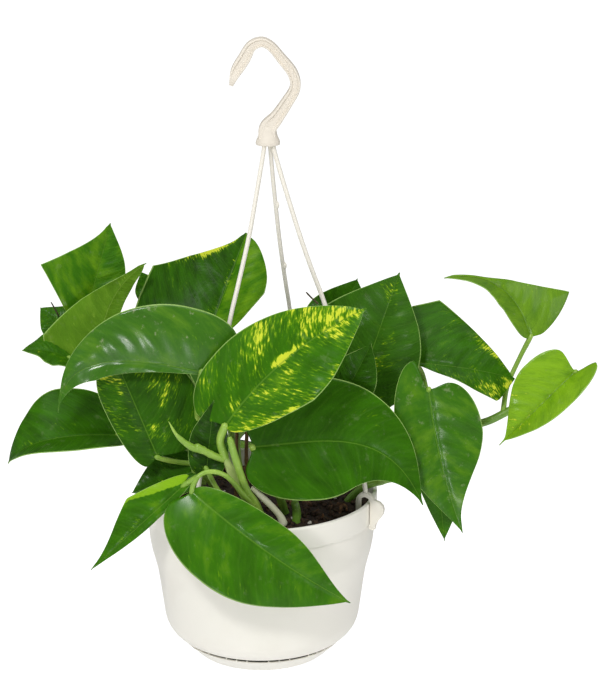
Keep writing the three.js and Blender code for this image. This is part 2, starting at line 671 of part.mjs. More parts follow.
    leaves: [
      { base: [-35, 15, 102], tip: [-10, 45, 164], face: [-0.1, -0.8, 0.6], left: 53, right: 27,
        wave: 3, widest: [0.45, 0.52], root: [1, 0.1], lobe: [0.04, 0.04], taper: [1.25, 0.5],
        corner: [1, 0.6],
        stalk: [[-30, 16, 70], [-35, 15, 90]], stalkRadius: 2 },
      { base: [-74, 47, 117], tip: [-81, 52, 135], face: [0, -0.8, 0.5], left: 9, right: 9,
        stalk: [[-22, 16, 42], [-44, 34, 76], [-70, 46, 106]], stalkRadius: 1.4 },
    ],
  },
  {
    name: 'vine_back_left',
    stems: [{ radius: 2.5, route: [[-16, 44, -28], [-16, 44, -8], [-18, 54, 14], [-18, 60, 26]] }],
    leaves: [
      { base: [-14, 68, 41], tip: [-40, 128, 60], face: [-0.2, 0.5, 0.8], left: 33, right: 31,
        rise: [12, 14],
        stalk: [[-18, 58, 22], [-16, 64, 34]] },
      { base: [-46, 58, 30], tip: [-104, 97, 51], face: [-0.5, 0.4, 0.8], left: 33, right: 33,
        rise: [12, 16],
        stalk: [[-18, 52, 10], [-34, 56, 24]] },
      { base: [-6, 80, 2], tip: [-14, 127, -43], face: [0, 0.9, 0.5], left: 30, right: 30, rise: [8, 12],
        stalk: [[-18, 54, 14], [-12, 66, 16], [-7, 76, 8]] },
    ],
  },
  {
    name: 'vine_back_right',
    stems: [{ radius: 2.5, route: [[26, 42, -28], [26, 42, -8], [34, 50, 14], [38, 54, 24]] }],
    leaves: [
      { base: [37, 70, 41], tip: [57, 127, 72], face: [0.1, 0.55, 0.8], left: 31, right: 32,
        rise: [12, 14],
        stalk: [[36, 52, 18], [37, 62, 32]] },
      { base: [52, 58, 26], tip: [112, 96, 32], face: [0.5, 0.4, 0.8], left: 33, right: 33,
        rise: [12, 16],
        stalk: [[36, 52, 20], [44, 56, 24]] },
      { base: [54, 74, 3], tip: [65, 108, -58], face: [0.3, 0.85, 0.3], left: 27, right: 27,
        rise: [8, 12],
        stalk: [[35, 51, 16], [44, 64, 17], [52, 72, 9]] },
    ],
  },
];

function buildVine({ name, stems, leaves }) {
  const parts = stems.map(({ route, radius }) => tube(route, radius));
  for (const values of leaves) {
    const leaf = { ...LEAF_DEFAULTS, ...values };
    parts.push(bladeSolid(leafGrid(leaf)), stalkSolid(leaf));
  }
  addPiece(name, parts.reduce((whole, part) => whole.add(part)), LEAF_GREEN);
}

// Assembly

buildPot();
buildSaucer();
buildSoil(VINES.flatMap(({ stems }) => stems.filter(({ route }) => route[0][2] < SOIL_EDGE)));
const planes = STRANDS.map(strandPlane);
buildHook(planes);
planes.forEach(buildStrand);
VINES.forEach(buildVine);

export default model;
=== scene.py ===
"""A golden pothos in a white hanging pot, dressed over its CAD frame.

Sizes are in millimetres in the pot's frame: its origin is the centre of the rim's top
plane, X is to the right and Y to the back. Every point is moved to the row's frame, whose
origin is the hang point, and to metres where a mesh is made.
"""

from __future__ import annotations

import logging
import math
import random
from abc import ABC, abstractmethod
from contextlib import contextmanager
from dataclasses import dataclass
from enum import Enum
from functools import cached_property
from typing import Callable, Iterator, Sequence

import bpy
from mathutils import Matrix, Vector, noise

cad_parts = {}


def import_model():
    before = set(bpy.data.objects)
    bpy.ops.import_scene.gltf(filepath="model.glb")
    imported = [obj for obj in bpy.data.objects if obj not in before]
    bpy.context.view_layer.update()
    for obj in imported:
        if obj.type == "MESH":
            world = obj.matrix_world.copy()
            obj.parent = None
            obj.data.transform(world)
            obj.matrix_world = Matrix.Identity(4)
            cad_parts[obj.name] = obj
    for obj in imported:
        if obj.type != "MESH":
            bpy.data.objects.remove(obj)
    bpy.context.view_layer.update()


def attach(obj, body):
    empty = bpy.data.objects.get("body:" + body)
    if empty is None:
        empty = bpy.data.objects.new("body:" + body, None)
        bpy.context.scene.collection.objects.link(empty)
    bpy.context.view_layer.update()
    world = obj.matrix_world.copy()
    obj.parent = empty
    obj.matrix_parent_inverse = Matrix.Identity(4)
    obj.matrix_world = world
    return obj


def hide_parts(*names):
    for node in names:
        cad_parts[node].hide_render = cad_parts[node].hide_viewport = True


LOG = logging.getLogger("pothos")

MM = 0.001
HANG_POINT = Vector((1.8, 0.0, 297.8))
FOOT_HEIGHT = -114.2
BODY = "root"
WELD = 2e-6

Point = tuple[float, float, float]
Pair = tuple[float, float]
Colour = tuple[int, int, int]
Thing = bpy.types.Object
Socket = bpy.types.NodeSocket
Source = Socket | float | Sequence[float]
Inputs = bpy.types.NodeInputs


def place(point: Sequence[float]) -> Vector:
    """Turn a point in the pot's frame, in millimetres, into the row's frame, in metres."""
    return (Vector(point) - HANG_POINT) * MM


def linear(colour: Colour) -> tuple[float, float, float, float]:
    """Turn a colour as seen on a screen, 0 to 255, into Blender's linear one."""
    parts = [c / 255 for c in colour]
    return (*[p / 12.92 if p <= 0.04045 else ((p + 0.055) / 1.055) ** 2.4 for p in parts], 1.0)


# Meshes


def deselect() -> None:
    """Deselect everything, so that an operator acts only on what is selected next."""
    if bpy.context.object and bpy.context.object.mode != "OBJECT":
        bpy.ops.object.mode_set(mode="OBJECT")
    bpy.ops.object.select_all(action="DESELECT")


def activate(thing: Thing) -> None:
    """Select one object alone and make it the active one."""
    deselect()
    thing.select_set(True)
    bpy.context.view_layer.objects.active = thing


@contextmanager
def editing(thing: Thing) -> Iterator[None]:
    """Hold an object in edit mode with its whole mesh selected."""
    activate(thing)
    bpy.ops.object.mode_set(mode="EDIT")
    bpy.ops.mesh.select_all(action="SELECT")
    yield
    bpy.ops.object.mode_set(mode="OBJECT")


def turn_outwards() -> None:
    """Turn all faces of the mesh in edit mode outwards."""
    bpy.ops.mesh.select_all(action="SELECT")
    bpy.ops.mesh.normals_make_consistent(inside=False)


def smooth_up_to(angle: float) -> None:
    """Shade the active object smooth but for edges sharper than some degrees."""
    bpy.ops.object.shade_smooth_by_angle(angle=math.radians(angle))


def drawn(name: str, points: Sequence[Vector], edges: Sequence = (), faces: Sequence = ()) -> Thing:
    """Make an object from points in metres and the edges or faces between them."""
    mesh = bpy.data.meshes.new(name)
    mesh.from_pydata(points, edges, faces)
    made = bpy.data.objects.new(name, mesh)
    bpy.context.collection.objects.link(made)
    return made


def cylinder(x: float, y: float, radius: float, low: float, high: float, sides: int) -> Thing:
    """Add an upright cylinder, with its place, radius and end heights in millimetres."""
    deselect()
    middle = place((x, y, (low + high) / 2))
    bpy.ops.mesh.primitive_cylinder_add(
        vertices=sides, radius=radius * MM, depth=(high - low) * MM, location=middle
    )
    return bpy.context.object


def bake_transform() -> None:
    """Put the active object's place, turn and scale into its mesh."""
    bpy.ops.object.transform_apply(location=True, rotation=True, scale=True)


def coat(thing: Thing, *finishes: Finish) -> None:
    """Give an object the materials of finishes, in place of any that it has."""
    thing.data.materials.clear()
    for finish in finishes:
        thing.data.materials.append(bpy.data.materials[finish.name])


def round_the_pot(radius: float, turn: float) -> Pair:
    """Find a place round the pot's axis from its radius and its turn in radians."""
    return radius * math.cos(turn), radius * math.sin(turn)


def apply_modifiers(thing: Thing) -> None:
    """Apply all of an object's modifiers, in order."""
    activate(thing)
    for modifier in list(thing.modifiers):
        bpy.ops.object.modifier_apply(modifier=modifier.name)


def join(parts: list[Thing], name: str) -> Thing:
    """Join objects into one.

    Args:
        parts: The objects. The first one's materials come first.
        name: The joined object's new name.

    Returns:
        The joined object.
    """
    deselect()
    for part in parts:
        part.select_set(True)
    bpy.context.view_layer.objects.active = parts[0]
    if len(parts) > 1:
        bpy.ops.object.join()
    parts[0].name = name
    parts[0].data.name = name
    return parts[0]


def install(thing: Thing, slot: str, *nodes: str) -> None:
    """Fix a finished piece to the frame in place of CAD nodes.

    Args:
        thing: The finished piece.
        slot: The record's material slot; not used.
        nodes: The CAD nodes that it stands for.
    """
    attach(thing, BODY)
    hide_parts(*nodes)
    LOG.info("%s: %d faces", thing.name, len(thing.data.polygons))


def sculpted_grid(
    name: str, columns: int, rows: int, where: Callable[[float, float], Sequence[float]]
) -> Thing:
    """Add a grid and bring each of its points to where the shape has it.

    Args:
        name: The new object's name.
        columns: Faces across the grid, along u.
        rows: Faces along the grid, along v.
        where: The shape: a point in millimetres for u and v, each from 0 to 1.

    Returns:
        The grid object, with its own UV map of u and v.
    """
    deselect()
    bpy.ops.mesh.primitive_grid_add(x_subdivisions=columns, y_subdivisions=rows, size=2)
    grid = bpy.context.object
    grid.name = name
    for vertex in grid.data.vertices:
        vertex.co = place(where((vertex.co.x + 1) / 2, (vertex.co.y + 1) / 2))
    return grid


def close_tube(tube: Thing, angle: float) -> None:
    """Weld a tube's seam, cap its ends and turn its faces outwards.

    Args:
        tube: The tube, made from a grid whose sides meet.
        angle: Edges sharper than this many degrees stay sharp.
    """
    with editing(tube):
        bpy.ops.mesh.remove_doubles(threshold=WELD)
        bpy.ops.mesh.fill_holes(sides=0)
        turn_outwards()
    smooth_up_to(angle)


def span_point(p: Sequence[Vector], share: float) -> Vector:
    """Find a point of a centripetal Catmull-Rom span.

    Args:
        p: Four points. The span runs from the second to the third.
        share: How far along the span, from 0 to 1.

    Returns:
        The point.
    """

    def blend(a: Vector, b: Vector, start: float, end: float) -> Vector:
        return a + (b - a) * ((t - start) / (end - start))

    knots = [0.0]
    for a, b in zip(p, p[1:]):
        knots.append(knots[-1] + max(1e-3, (b - a).length) ** 0.5)
    t = knots[1] + (knots[2] - knots[1]) * share
    low = [blend(p[i], p[i + 1], knots[i], knots[i + 1]) for i in range(3)]
    mid = [blend(low[i], low[i + 1], knots[i], knots[i + 2]) for i in range(2)]
    return blend(mid[0], mid[1], knots[1], knots[2])


def smooth_route(points: Sequence[Sequence[float]], step: float) -> list[Vector]:
    """Run a smooth curve through points.

    Args:
        points: The points that the curve passes through.
        step: About how far apart the made points are.

    Returns:
        Points along the curve.
    """
    p = [Vector(q) for q in points]
    p = [p[0] * 2 - p[1], *p, p[-1] * 2 - p[-2]]
    made: list[Vector] = []
    for i in range(1, len(p) - 2):
        count = max(2, round((p[i + 1] - p[i]).length / step))
        made += [span_point(p[i - 1 : i + 3], k / count) for k in range(count)]
    return [*made, p[-2]]


def direction(line: Sequence[Vector], i: int) -> Vector:
    """Find a line's direction at one of its points."""
    return (line[min(i + 1, len(line) - 1)] - line[max(i - 1, 0)]).normalized()


def carried_frames(line: Sequence[Vector]) -> list[tuple[Vector, Vector, Vector]]:
    """Carry a pair of cross directions along a line without twisting them.

    Args:
        line: Points along a curve.

    Returns:
        For each point: itself and two directions square to the curve.
    """
    across = direction(line, 0).orthogonal().normalized()
    frames = []
    for i, point in enumerate(line):
        tangent = direction(line, i)
        across = (across - tangent * across.dot(tangent)).normalized()
        frames.append((point, across, tangent.cross(across)))
    return frames


def tube(
    name: str, route: Sequence[Sequence[float]], radius: Callable[[float], float], sides: int, step: float
) -> Thing:
    """Make a round tube along a smooth route.

    Args:
        name: The new object's name.
        route: The points that its middle passes through, in millimetres.
        radius: Its radius for a share of its length, from 0 to 1.
        sides: How many sides it has.
        step: About how long its rings are.

    Returns:
        The closed tube.
    """
    frames = carried_frames(smooth_route(route, step))
    last = len(frames) - 1

    def where(u: float, v: float) -> Vector:
        middle, across, up = frames[round(v * last)]
        turn = 2 * math.pi * u
        return middle + (across * math.cos(turn) + up * math.sin(turn)) * radius(v)

    made = sculpted_grid(name, sides, last, where)
    close_tube(made, 70)
    return made


def lathe(name: str, profile: Sequence[Pair], steps: int = 144) -> Thing:
    """Spin a profile round the pot's axis.

    Args:
        name: The new object's name.
        profile: Radius and height of each point, from the axis round to the axis.
        steps: How many faces go round.

    Returns:
        The closed body.
    """
    points = [place((r, 0, z)) for r, z in profile]
    body = drawn(name, points, edges=[(i, i + 1) for i in range(len(points) - 1)])
    with editing(body):
        bpy.ops.mesh.spin(steps=steps, angle=2 * math.pi, center=place((0, 0, 0)), axis=(0, 0, 1))
        bpy.ops.mesh.select_all(action="SELECT")
        bpy.ops.mesh.remove_doubles(threshold=WELD)
        turn_outwards()
    return body


def rounded(thing: Thing, width: float, segments: int = 2) -> None:
    """Round the edges of an object that are sharper than 30 degrees and shade it smooth.

    Args:
        thing: The object.
        width: How wide the rounding is, in millimetres.
        segments: How many faces go round each edge.
    """
    angle = 30
    bevel = thing.modifiers.new("rounding", "BEVEL")
    bevel.width = width * MM
    bevel.segments = segments
    bevel.limit_method = "ANGLE"
    bevel.angle_limit = math.radians(angle)
    apply_modifiers(thing)
    smooth_up_to(angle)


def bore(thing: Thing, spot: Pair, radius: float, low: float, high: float) -> None:
    """Cut an upright round hole through an object.

    Args:
        thing: The object.
        spot: The hole's place to the right and to the back.
        radius: The hole's radius.
        low: The cutter's lower end.
        high: The cutter's upper end.
    """
    cutter = cylinder(*spot, radius, low, high, 32)
    cut = thing.modifiers.new("bore", "BOOLEAN")
    cut.operation = "DIFFERENCE"
    cut.object = cutter
    apply_modifiers(thing)
    bpy.data.objects.remove(cutter)


# Nodes


SIDE_VEINS = 10
MARGIN_COLOUR = (168, 204, 112)
# Whitish colour of scuffs, and of painted sheen on shiny leaves.
SCUFF_SHEEN_COLOUR = (172, 176, 140)
DOT_COLOUR = (222, 232, 160)


class Sketch:
    """Adds nodes to one node tree and wires them."""

    def __init__(self, tree: bpy.types.NodeTree) -> None:
        """Start on a tree."""
        self.tree = tree

    def node(self, kind: str, **settings: object) -> bpy.types.Node:
        """Add a node.

        Args:
            kind: The node's type, without its ShaderNode prefix.
            settings: The node's own settings.

        Returns:
            The node.
        """
        made = self.tree.nodes.new("ShaderNode" + kind)
        for name, value in settings.items():
            setattr(made, name, value)
        return made

    def feed(self, source: Source, target: Socket) -> None:
        """Wire a socket to an input, or set the input to a plain value."""
        if isinstance(source, Socket):
            self.tree.links.new(source, target)
        else:
            target.default_value = source

    def wired(
        self,
        kind: str,
        values: dict[str | int, Source] | Sequence[Source],
        output: str | int = 0,
        **settings: object,
    ) -> Socket:
        """Add a node and wire its inputs.

        Args:
            kind: The node's type, without its ShaderNode prefix.
            values: What feeds its inputs, by name or in order.
            output: Which of its outputs is asked for.
            settings: The node's own settings.

        Returns:
            The output.
        """
        made = self.node(kind, **settings)
        for key, value in values.items() if isinstance(values, dict) else enumerate(values):
            self.feed(value, made.inputs[key])
        return made.outputs[output]

    def math(self, operation: str, *values: Source, clamp: bool = False) -> Socket:
        """Work on up to three values."""
        return self.wired("Math", values, operation=operation, use_clamp=clamp)

    def times(self, first: Source, second: Source) -> Socket:
        """Multiply two values."""
        return self.math("MULTIPLY", first, second)

    def plus(self, first: Source, second: Source, clamp: bool = False) -> Socket:
        """Add two values."""
        return self.math("ADD", first, second, clamp=clamp)

    def minus(self, first: Source, second: Source) -> Socket:
        """Subtract the second value from the first."""
        return self.math("SUBTRACT", first, second)

    def blend(self, factor: Source, first: Source, second: Source) -> Socket:
        """Mix two colours."""
        return self.wired("Mix", {"Factor": factor, 6: first, 7: second}, 2, data_type="RGBA")

    def ramp(self, factor: Source, *stops: tuple[float, Colour]) -> Socket:
        """Run through colours as a value goes from 0 to 1.

        Args:
            factor: The value.
            stops: Place and colour of each stop.

        Returns:
            The colour.
        """
        made = self.node("ValToRGB")
        elements = made.color_ramp.elements
        while len(elements) < len(stops):
            elements.new(0.5)
        for element, (spot, colour) in zip(elements, stops):
            element.position = spot
            element.color = linear(colour)
        self.feed(factor, made.inputs["Fac"])
        return made.outputs["Color"]

    def fade(
        self, value: Source, low: Source, high: Source, start: float = 0.0, end: float = 1.0
    ) -> Socket:
        """Bring a value smoothly from start to end as it goes from low to high."""
        values = {"Value": value, "From Min": low, "From Max": high, "To Min": start, "To Max": end}
        return self.wired("MapRange", values, interpolation_type="SMOOTHSTEP")

    def noise(
        self, vector: Source, scale: float, detail: float = 3, roughness: float = 0.5
    ) -> Socket:
        """Find the noise at a place."""
        values = {"Vector": vector, "Scale": scale, "Detail": detail, "Roughness": roughness}
        return self.wired("TexNoise", values)

    def vector(self, x: Source, y: Source, z: Source) -> Socket:
        """Combine three values into a vector."""
        return self.wired("CombineXYZ", (x, y, z))

    def split(self, vector: Source) -> tuple[Socket, ...]:
        """Separate a vector into its three values."""
        made = self.node("SeparateXYZ")
        self.feed(vector, made.inputs[0])
        return tuple(made.outputs)

    def spot(self) -> Socket:
        """Read the place on the object."""
        return self.node("TexCoord").outputs["Object"]

    def attribute(self, name: str) -> tuple[Socket, ...]:
        """Read a vector attribute of the mesh as three values."""
        return self.split(self.node("Attribute", attribute_name=name).outputs["Vector"])

    def bump(
        self, height: Source, distance: float, strength: float = 1.0, normal: Source | None = None
    ) -> Socket:
        """Turn a height into a normal.

        Args:
            height: The height, from 0 to 1.
            distance: How high 1 is, in millimetres.
            strength: How strongly it shows.
            normal: A normal that it is added to.

        Returns:
            The new normal.
        """
        values = {"Height": height, "Distance": distance * MM, "Strength": strength}
        if normal is not None:
            values["Normal"] = normal
        return self.wired("Bump", values, "Normal")

    def group(self, tree: bpy.types.NodeTree, **values: Source) -> dict[str, Socket]:
        """Place a node group.

        Args:
            tree: The group's tree.
            values: What feeds its inputs, by their names in lower case with _ for a space.

        Returns:
            The group's outputs by name.
        """
        made = self.node("Group", node_tree=tree)
        for socket in made.inputs:
            key = socket.name.lower().replace(" ", "_")
            if key in values:
                self.feed(values[key], socket)
        return {socket.name: socket for socket in made.outputs}


def new_group(
    name: str, inputs: dict[str, float | None], outputs: Sequence[str]
) -> tuple[Sketch, dict[str, Socket], bpy.types.Node]:
    """Start a shader node group.

    Args:
        name: The group's name.
        inputs: The default of each input by name, or None for a vector.
        outputs: The name of each output, all values.

    Returns:
        A sketch of its tree, its input sockets by name, and its output node.
    """
    tree = bpy.data.node_groups.new(name, "ShaderNodeTree")
    for label, default in inputs.items():
        kind = "NodeSocketVector" if default is None else "NodeSocketFloat"
        socket = tree.interface.new_socket(label, in_out="INPUT", socket_type=kind)
        if default is not None:
            socket.default_value = default
    for label in outputs:
        tree.interface.new_socket(label, in_out="OUTPUT", socket_type="NodeSocketFloat")
    entry = tree.nodes.new("NodeGroupInput")
    leave = tree.nodes.new("NodeGroupOutput")
    return Sketch(tree), {socket.name: socket for socket in entry.outputs}, leave


class SharedEffect(Enum):
    """Effects that several materials use, each one node group."""

    LEAF_VEINS = "leaf veins"
    VARIEGATION = "variegation"
    MOULDED_SKIN = "moulded skin"

    def tree(self) -> bpy.types.NodeTree:
        """Return the effect's node group, built the first time it is asked for."""
        builders = {
            SharedEffect.LEAF_VEINS: leaf_veins_group,
            SharedEffect.VARIEGATION: variegation_group,
            SharedEffect.MOULDED_SKIN: moulded_skin_group,
        }
        return bpy.data.node_groups.get(self.value) or builders[self]()


def leaf_veins_group() -> bpy.types.NodeTree:
    """Build the leaf's midrib and side veins.

    Returns:
        A group that puts out masks of the midrib and the side veins, and a height.
    """
    s, given, out = new_group(
        SharedEffect.LEAF_VEINS.value,
        {"Vein": 0.5, "Side": 0.0, "Along": 0.5, "Seed": 0.0},
        ("Midrib", "Ribs", "Height"),
    )
    side = s.math("ABSOLUTE", given["Side"])
    width = s.math("MULTIPLY_ADD", given["Along"], -0.005, 0.0085)
    half = s.times(width, 0.45)
    midrib = s.fade(side, half, width, 1.0, 0.0)
    wobble = s.noise(s.vector(given["Vein"], given["Side"], given["Seed"]), 9, 2)
    bent = s.math("MULTIPLY_ADD", wobble, 0.035, given["Vein"])
    masks = []
    for count, narrow in ((SIDE_VEINS, 0.12), (3 * SIDE_VEINS, 0.3)):
        turn = s.math("FRACT", s.times(bent, count))
        from_line = s.math("ABSOLUTE", s.minus(turn, 0.5))
        masks.append(s.fade(from_line, 0.0, narrow, 1.0, 0.0))
    off_rib = s.fade(side, 0.004, 0.02)
    major = s.times(masks[0], off_rib)
    minor = s.times(s.times(masks[1], 0.35), off_rib)
    ribs = s.math("MAXIMUM", major, minor)
    dip = s.times(midrib, 0.9)
    height = s.minus(1.0, s.math("MAXIMUM", dip, s.times(ribs, 0.45)))
    s.feed(midrib, out.inputs["Midrib"])
    s.feed(ribs, out.inputs["Ribs"])
    s.feed(height, out.inputs["Height"])
    return s.tree


def variegation_group() -> bpy.types.NodeTree:
    """Build the pale streaks that run along a leaf's side veins.

    Returns:
        A group that puts out masks of the streaks and of the paler green round them.
    """
    s, given, out = new_group(
        SharedEffect.VARIEGATION.value,
        {"Vein": 0.5, "Side": 0.0, "Seed": 0.0, "Amount": 0.3, "Patch": 0.0},
        ("Mask", "Halo"),
    )
    vein, side, seed = given["Vein"], given["Side"], given["Seed"]
    streaks = s.noise(s.vector(s.times(vein, 70), s.times(side, 24), seed), 1, 4, 0.6)
    clusters = s.noise(s.vector(s.times(vein, 7), s.times(side, 6), seed), 1, 2)
    mixed = s.plus(s.times(streaks, 0.6), s.times(clusters, 0.5))
    lifted = s.plus(mixed, s.times(given["Patch"], 0.3))
    edge = s.minus(0.8, s.times(given["Amount"], 0.26))
    s.feed(s.fade(lifted, edge, s.plus(edge, 0.05)), out.inputs["Mask"])
    s.feed(s.fade(lifted, s.minus(edge, 0.09), s.plus(edge, 0.02)), out.inputs["Halo"])
    return s.tree


def moulded_skin_group() -> bpy.types.NodeTree:
    """Build the surface of moulded plastic: faint flow marks, small dents and dust.

    Returns:
        A group that puts out a height, a mask of dust and one of duller places.
    """
    s, given, out = new_group(
        SharedEffect.MOULDED_SKIN.value,
        {"Position": None, "Dust": 0.3},
        ("Height", "Dust", "Dull"),
    )
    spot = given["Position"]
    height = s.plus(s.times(s.noise(spot, 18, 2), 0.75), s.times(s.noise(spot, 420, 2), 0.25))
    specks = s.fade(s.noise(spot, 260, 4, 0.7), 0.66, 0.74)
    smudge = s.fade(s.noise(spot, 30, 4), 0.5, 0.75)
    dusty = s.math("MAXIMUM", s.times(specks, 0.6), s.times(smudge, 0.5))
    s.feed(height, out.inputs["Height"])
    s.feed(s.times(dusty, given["Dust"]), out.inputs["Dust"])
    s.feed(s.noise(spot, 55, 3), out.inputs["Dull"])
    return s.tree


def new_material(name: str) -> tuple[bpy.types.Material, Sketch, bpy.types.Node]:
    """Start a material.

    Args:
        name: The material's name.

    Returns:
        The material, a sketch of its tree and its Principled shader.
    """
    material = bpy.data.materials.new(name)
    material.use_nodes = True
    return material, Sketch(material.node_tree), material.node_tree.nodes["Principled BSDF"]


@dataclass(frozen=True)
class Finish(ABC):
    """A procedural material."""

    name: str

    @abstractmethod
    def draw(self, s: Sketch, inputs: Inputs) -> None:
        """Draw the material's nodes and wire them to the shader's inputs."""

    def material(self) -> None:
        """Build the material."""
        _, s, shader = new_material(self.name)
        self.draw(s, shader.inputs)


@dataclass(frozen=True)
class LeafFinish(Finish):
    """One face of a leaf's blade."""

    dark: Colour
    fresh: Colour
    bright: Colour
    cool: Colour
    vein: Colour
    halo: Colour
    pale: Colour
    roughness: float
    relief: float
    coat: float

    def draw(self, s: Sketch, inputs: Inputs) -> None:
        """Draw the leaf's nodes, which read the mesh's grain, dye and mood attributes."""
        vein, side, seed = s.attribute("grain")
        tone, amount, patch = s.attribute("dye")
        cool, scuff_sheen, sheen = s.attribute("mood")
        uv = s.split(s.node("UVMap").outputs[0])
        veins = s.group(SharedEffect.LEAF_VEINS.tree(), vein=vein, side=side, along=uv[1], seed=seed)
        streaks = s.group(
            SharedEffect.VARIEGATION.tree(), vein=vein, side=side, seed=seed, amount=amount, patch=patch
        )
        spot = s.spot()
        cloud = s.noise(s.vector(s.times(vein, 7), s.times(side, 5), seed), 1.2, 4, 0.55)
        shade = s.plus(tone, s.times(s.minus(cloud, 0.5), 0.8), clamp=True)
        colour = s.ramp(shade, (0.0, self.dark), (0.55, self.fresh), (1.0, self.bright))
        colour = s.blend(cool, colour, linear(self.cool))
        colour = s.blend(s.times(veins["Ribs"], 0.08), colour, linear(self.vein))
        colour = s.blend(s.times(streaks["Halo"], 0.75), colour, linear(self.halo))
        colour = s.blend(s.times(streaks["Mask"], 0.9), colour, linear(self.pale))
        colour = s.blend(s.times(veins["Midrib"], 0.5), colour, linear(self.vein))
        # Whitish marks: partly scuffs, partly painted sheen on the shinier leaves.
        scuff_sheen_mask = s.fade(s.noise(spot, 130, 5, 0.7), 0.58, 0.72)
        colour = s.blend(s.times(scuff_sheen_mask, scuff_sheen), colour, linear(SCUFF_SHEEN_COLOUR))
        across = s.math("ABSOLUTE", s.minus(s.times(uv[0], 2.0), 1.0))
        colour = s.blend(s.fade(across, 0.975, 0.99, 0.0, 0.75), colour, linear(MARGIN_COLOUR))
        s.feed(colour, inputs["Base Color"])
        s.feed(s.plus(self.roughness, s.times(s.noise(spot, 90, 3), 0.14)), inputs["Roughness"])
        pores = s.bump(s.noise(spot, 1300, 2), 0.03, 0.5)
        wrinkles = s.noise(s.vector(s.times(vein, 60), s.times(side, 22), seed), 1, 4, 0.6)
        crinkle = s.bump(wrinkles, 0.45, 0.8, pores)
        s.feed(s.bump(veins["Height"], self.relief, 0.8, crinkle), inputs["Normal"])
        s.feed(s.times(sheen, self.coat), inputs["Coat Weight"])
        inputs["Specular IOR Level"].default_value = 0.05
        inputs["Coat Roughness"].default_value = 0.2


@dataclass(frozen=True)
class StemFinish(Finish):
    """The skin of a stem, a stalk or a sheath."""

    colour: Colour
    blush: Colour
    roughness: float

    def draw(self, s: Sketch, inputs: Inputs) -> None:
        """Draw the stem's nodes, with lengthwise streaks and small lighter dots."""
        u, v, _ = s.split(s.node("UVMap").outputs[0])
        streak = s.noise(s.vector(s.times(u, 9), s.times(v, 2), 0.0), 3, 3)
        dots = s.fade(s.noise(s.spot(), 700, 2), 0.64, 0.7, 0.0, 0.35)
        mottle = s.fade(s.noise(s.spot(), 60, 3), 0.4, 0.68)
        shade = s.plus(s.times(mottle, 0.6), s.times(streak, 0.4), clamp=True)
        colour = s.blend(shade, linear(self.colour), linear(self.blush))
        s.feed(s.blend(dots, colour, linear(DOT_COLOUR)), inputs["Base Color"])
        s.feed(s.bump(streak, 0.15, 0.7), inputs["Normal"])
        inputs["Roughness"].default_value = self.roughness


@dataclass(frozen=True)
class PlasticFinish(Finish):
    """Moulded plastic."""

    colour: Colour
    dust_colour: Colour
    roughness: float
    dust: float
    relief: float

    def draw(self, s: Sketch, inputs: Inputs) -> None:
        """Draw the plastic's nodes."""
        skin = s.group(SharedEffect.MOULDED_SKIN.tree(), position=s.spot(), dust=self.dust)
        s.feed(s.blend(skin["Dust"], linear(self.colour), linear(self.dust_colour)), inputs["Base Color"])
        s.feed(s.plus(self.roughness, s.times(skin["Dull"], 0.18)), inputs["Roughness"])
        s.feed(s.bump(skin["Height"], self.relief, 0.35), inputs["Normal"])


@dataclass(frozen=True)
class GrainFinish(Finish):
    """Soil and the bits in it."""

    dark: Colour
    light: Colour
    scale: float

    def draw(self, s: Sketch, inputs: Inputs) -> None:
        """Draw the crumbly nodes."""
        shade = s.fade(s.noise(s.spot(), self.scale, 5, 0.7), 0.35, 0.7)
        s.feed(s.blend(shade, linear(self.dark), linear(self.light)), inputs["Base Color"])
        s.feed(s.bump(s.noise(s.spot(), self.scale * 2, 5, 0.7), 1.2, 0.9), inputs["Normal"])
        inputs["Roughness"].default_value = 0.9


UPPER_LEAF = LeafFinish(
    "leaf upper face", dark=(15, 42, 1), fresh=(54, 110, 2), bright=(128, 174, 26), cool=(60, 98, 34),
    vein=(100, 146, 44), halo=(108, 156, 10), pale=(212, 222, 58), roughness=0.34, relief=0.3, coat=1.0,
)
UNDER_LEAF = LeafFinish(
    "leaf underside", dark=(56, 98, 12), fresh=(92, 136, 20), bright=(150, 184, 60), cool=(76, 112, 50),
    vein=(128, 164, 64), halo=(140, 176, 60), pale=(204, 212, 96), roughness=0.5, relief=0.35, coat=0.0,
)
SHEATH = StemFinish("pale sheath", (150, 184, 84), (204, 218, 140), 0.4)
STUB = StemFinish("cut stub", (196, 198, 160), (222, 222, 196), 0.55)
BRACT = StemFinish("dry bract", (44, 36, 24), (96, 84, 48), 0.6)
GREEN_STEM = StemFinish("green stem", (92, 138, 44), (140, 178, 66), 0.36)
PALE_STALK = StemFinish("pale stalk", (118, 160, 52), (168, 200, 84), 0.34)
DRY_STEM = StemFinish("dry stem", (110, 78, 46), (150, 118, 76), 0.7)
POT_PLASTIC = PlasticFinish("white pot plastic", (244, 241, 231), (204, 194, 176), 0.3, 0.2, 0.2)
HANGER_PLASTIC = PlasticFinish("cream hanger plastic", (238, 233, 221), (222, 214, 198), 0.5, 0.08, 0.01)
HOOK_PLASTIC = PlasticFinish("cream hook plastic", (226, 218, 204), (214, 205, 190), 0.5, 0.08, 0.01)
# Painted shade: a dark brown for the saucer's inside, seen only as the shadowed gap under the pot.
GAP_SHADE_PLASTIC = PlasticFinish("painted gap shade plastic", (58, 46, 33), (38, 29, 20), 0.7, 0.6, 0.3)
SOIL = GrainFinish("potting soil", (22, 14, 9), (66, 46, 31), 420)
CRUMB = GrainFinish("soil crumb", (30, 20, 13), (92, 66, 45), 600)
BARK = GrainFinish("bark chip", (70, 44, 26), (132, 94, 62), 300)
GRIT = GrainFinish("pale grit", (190, 184, 170), (228, 224, 214), 500)


# Plant


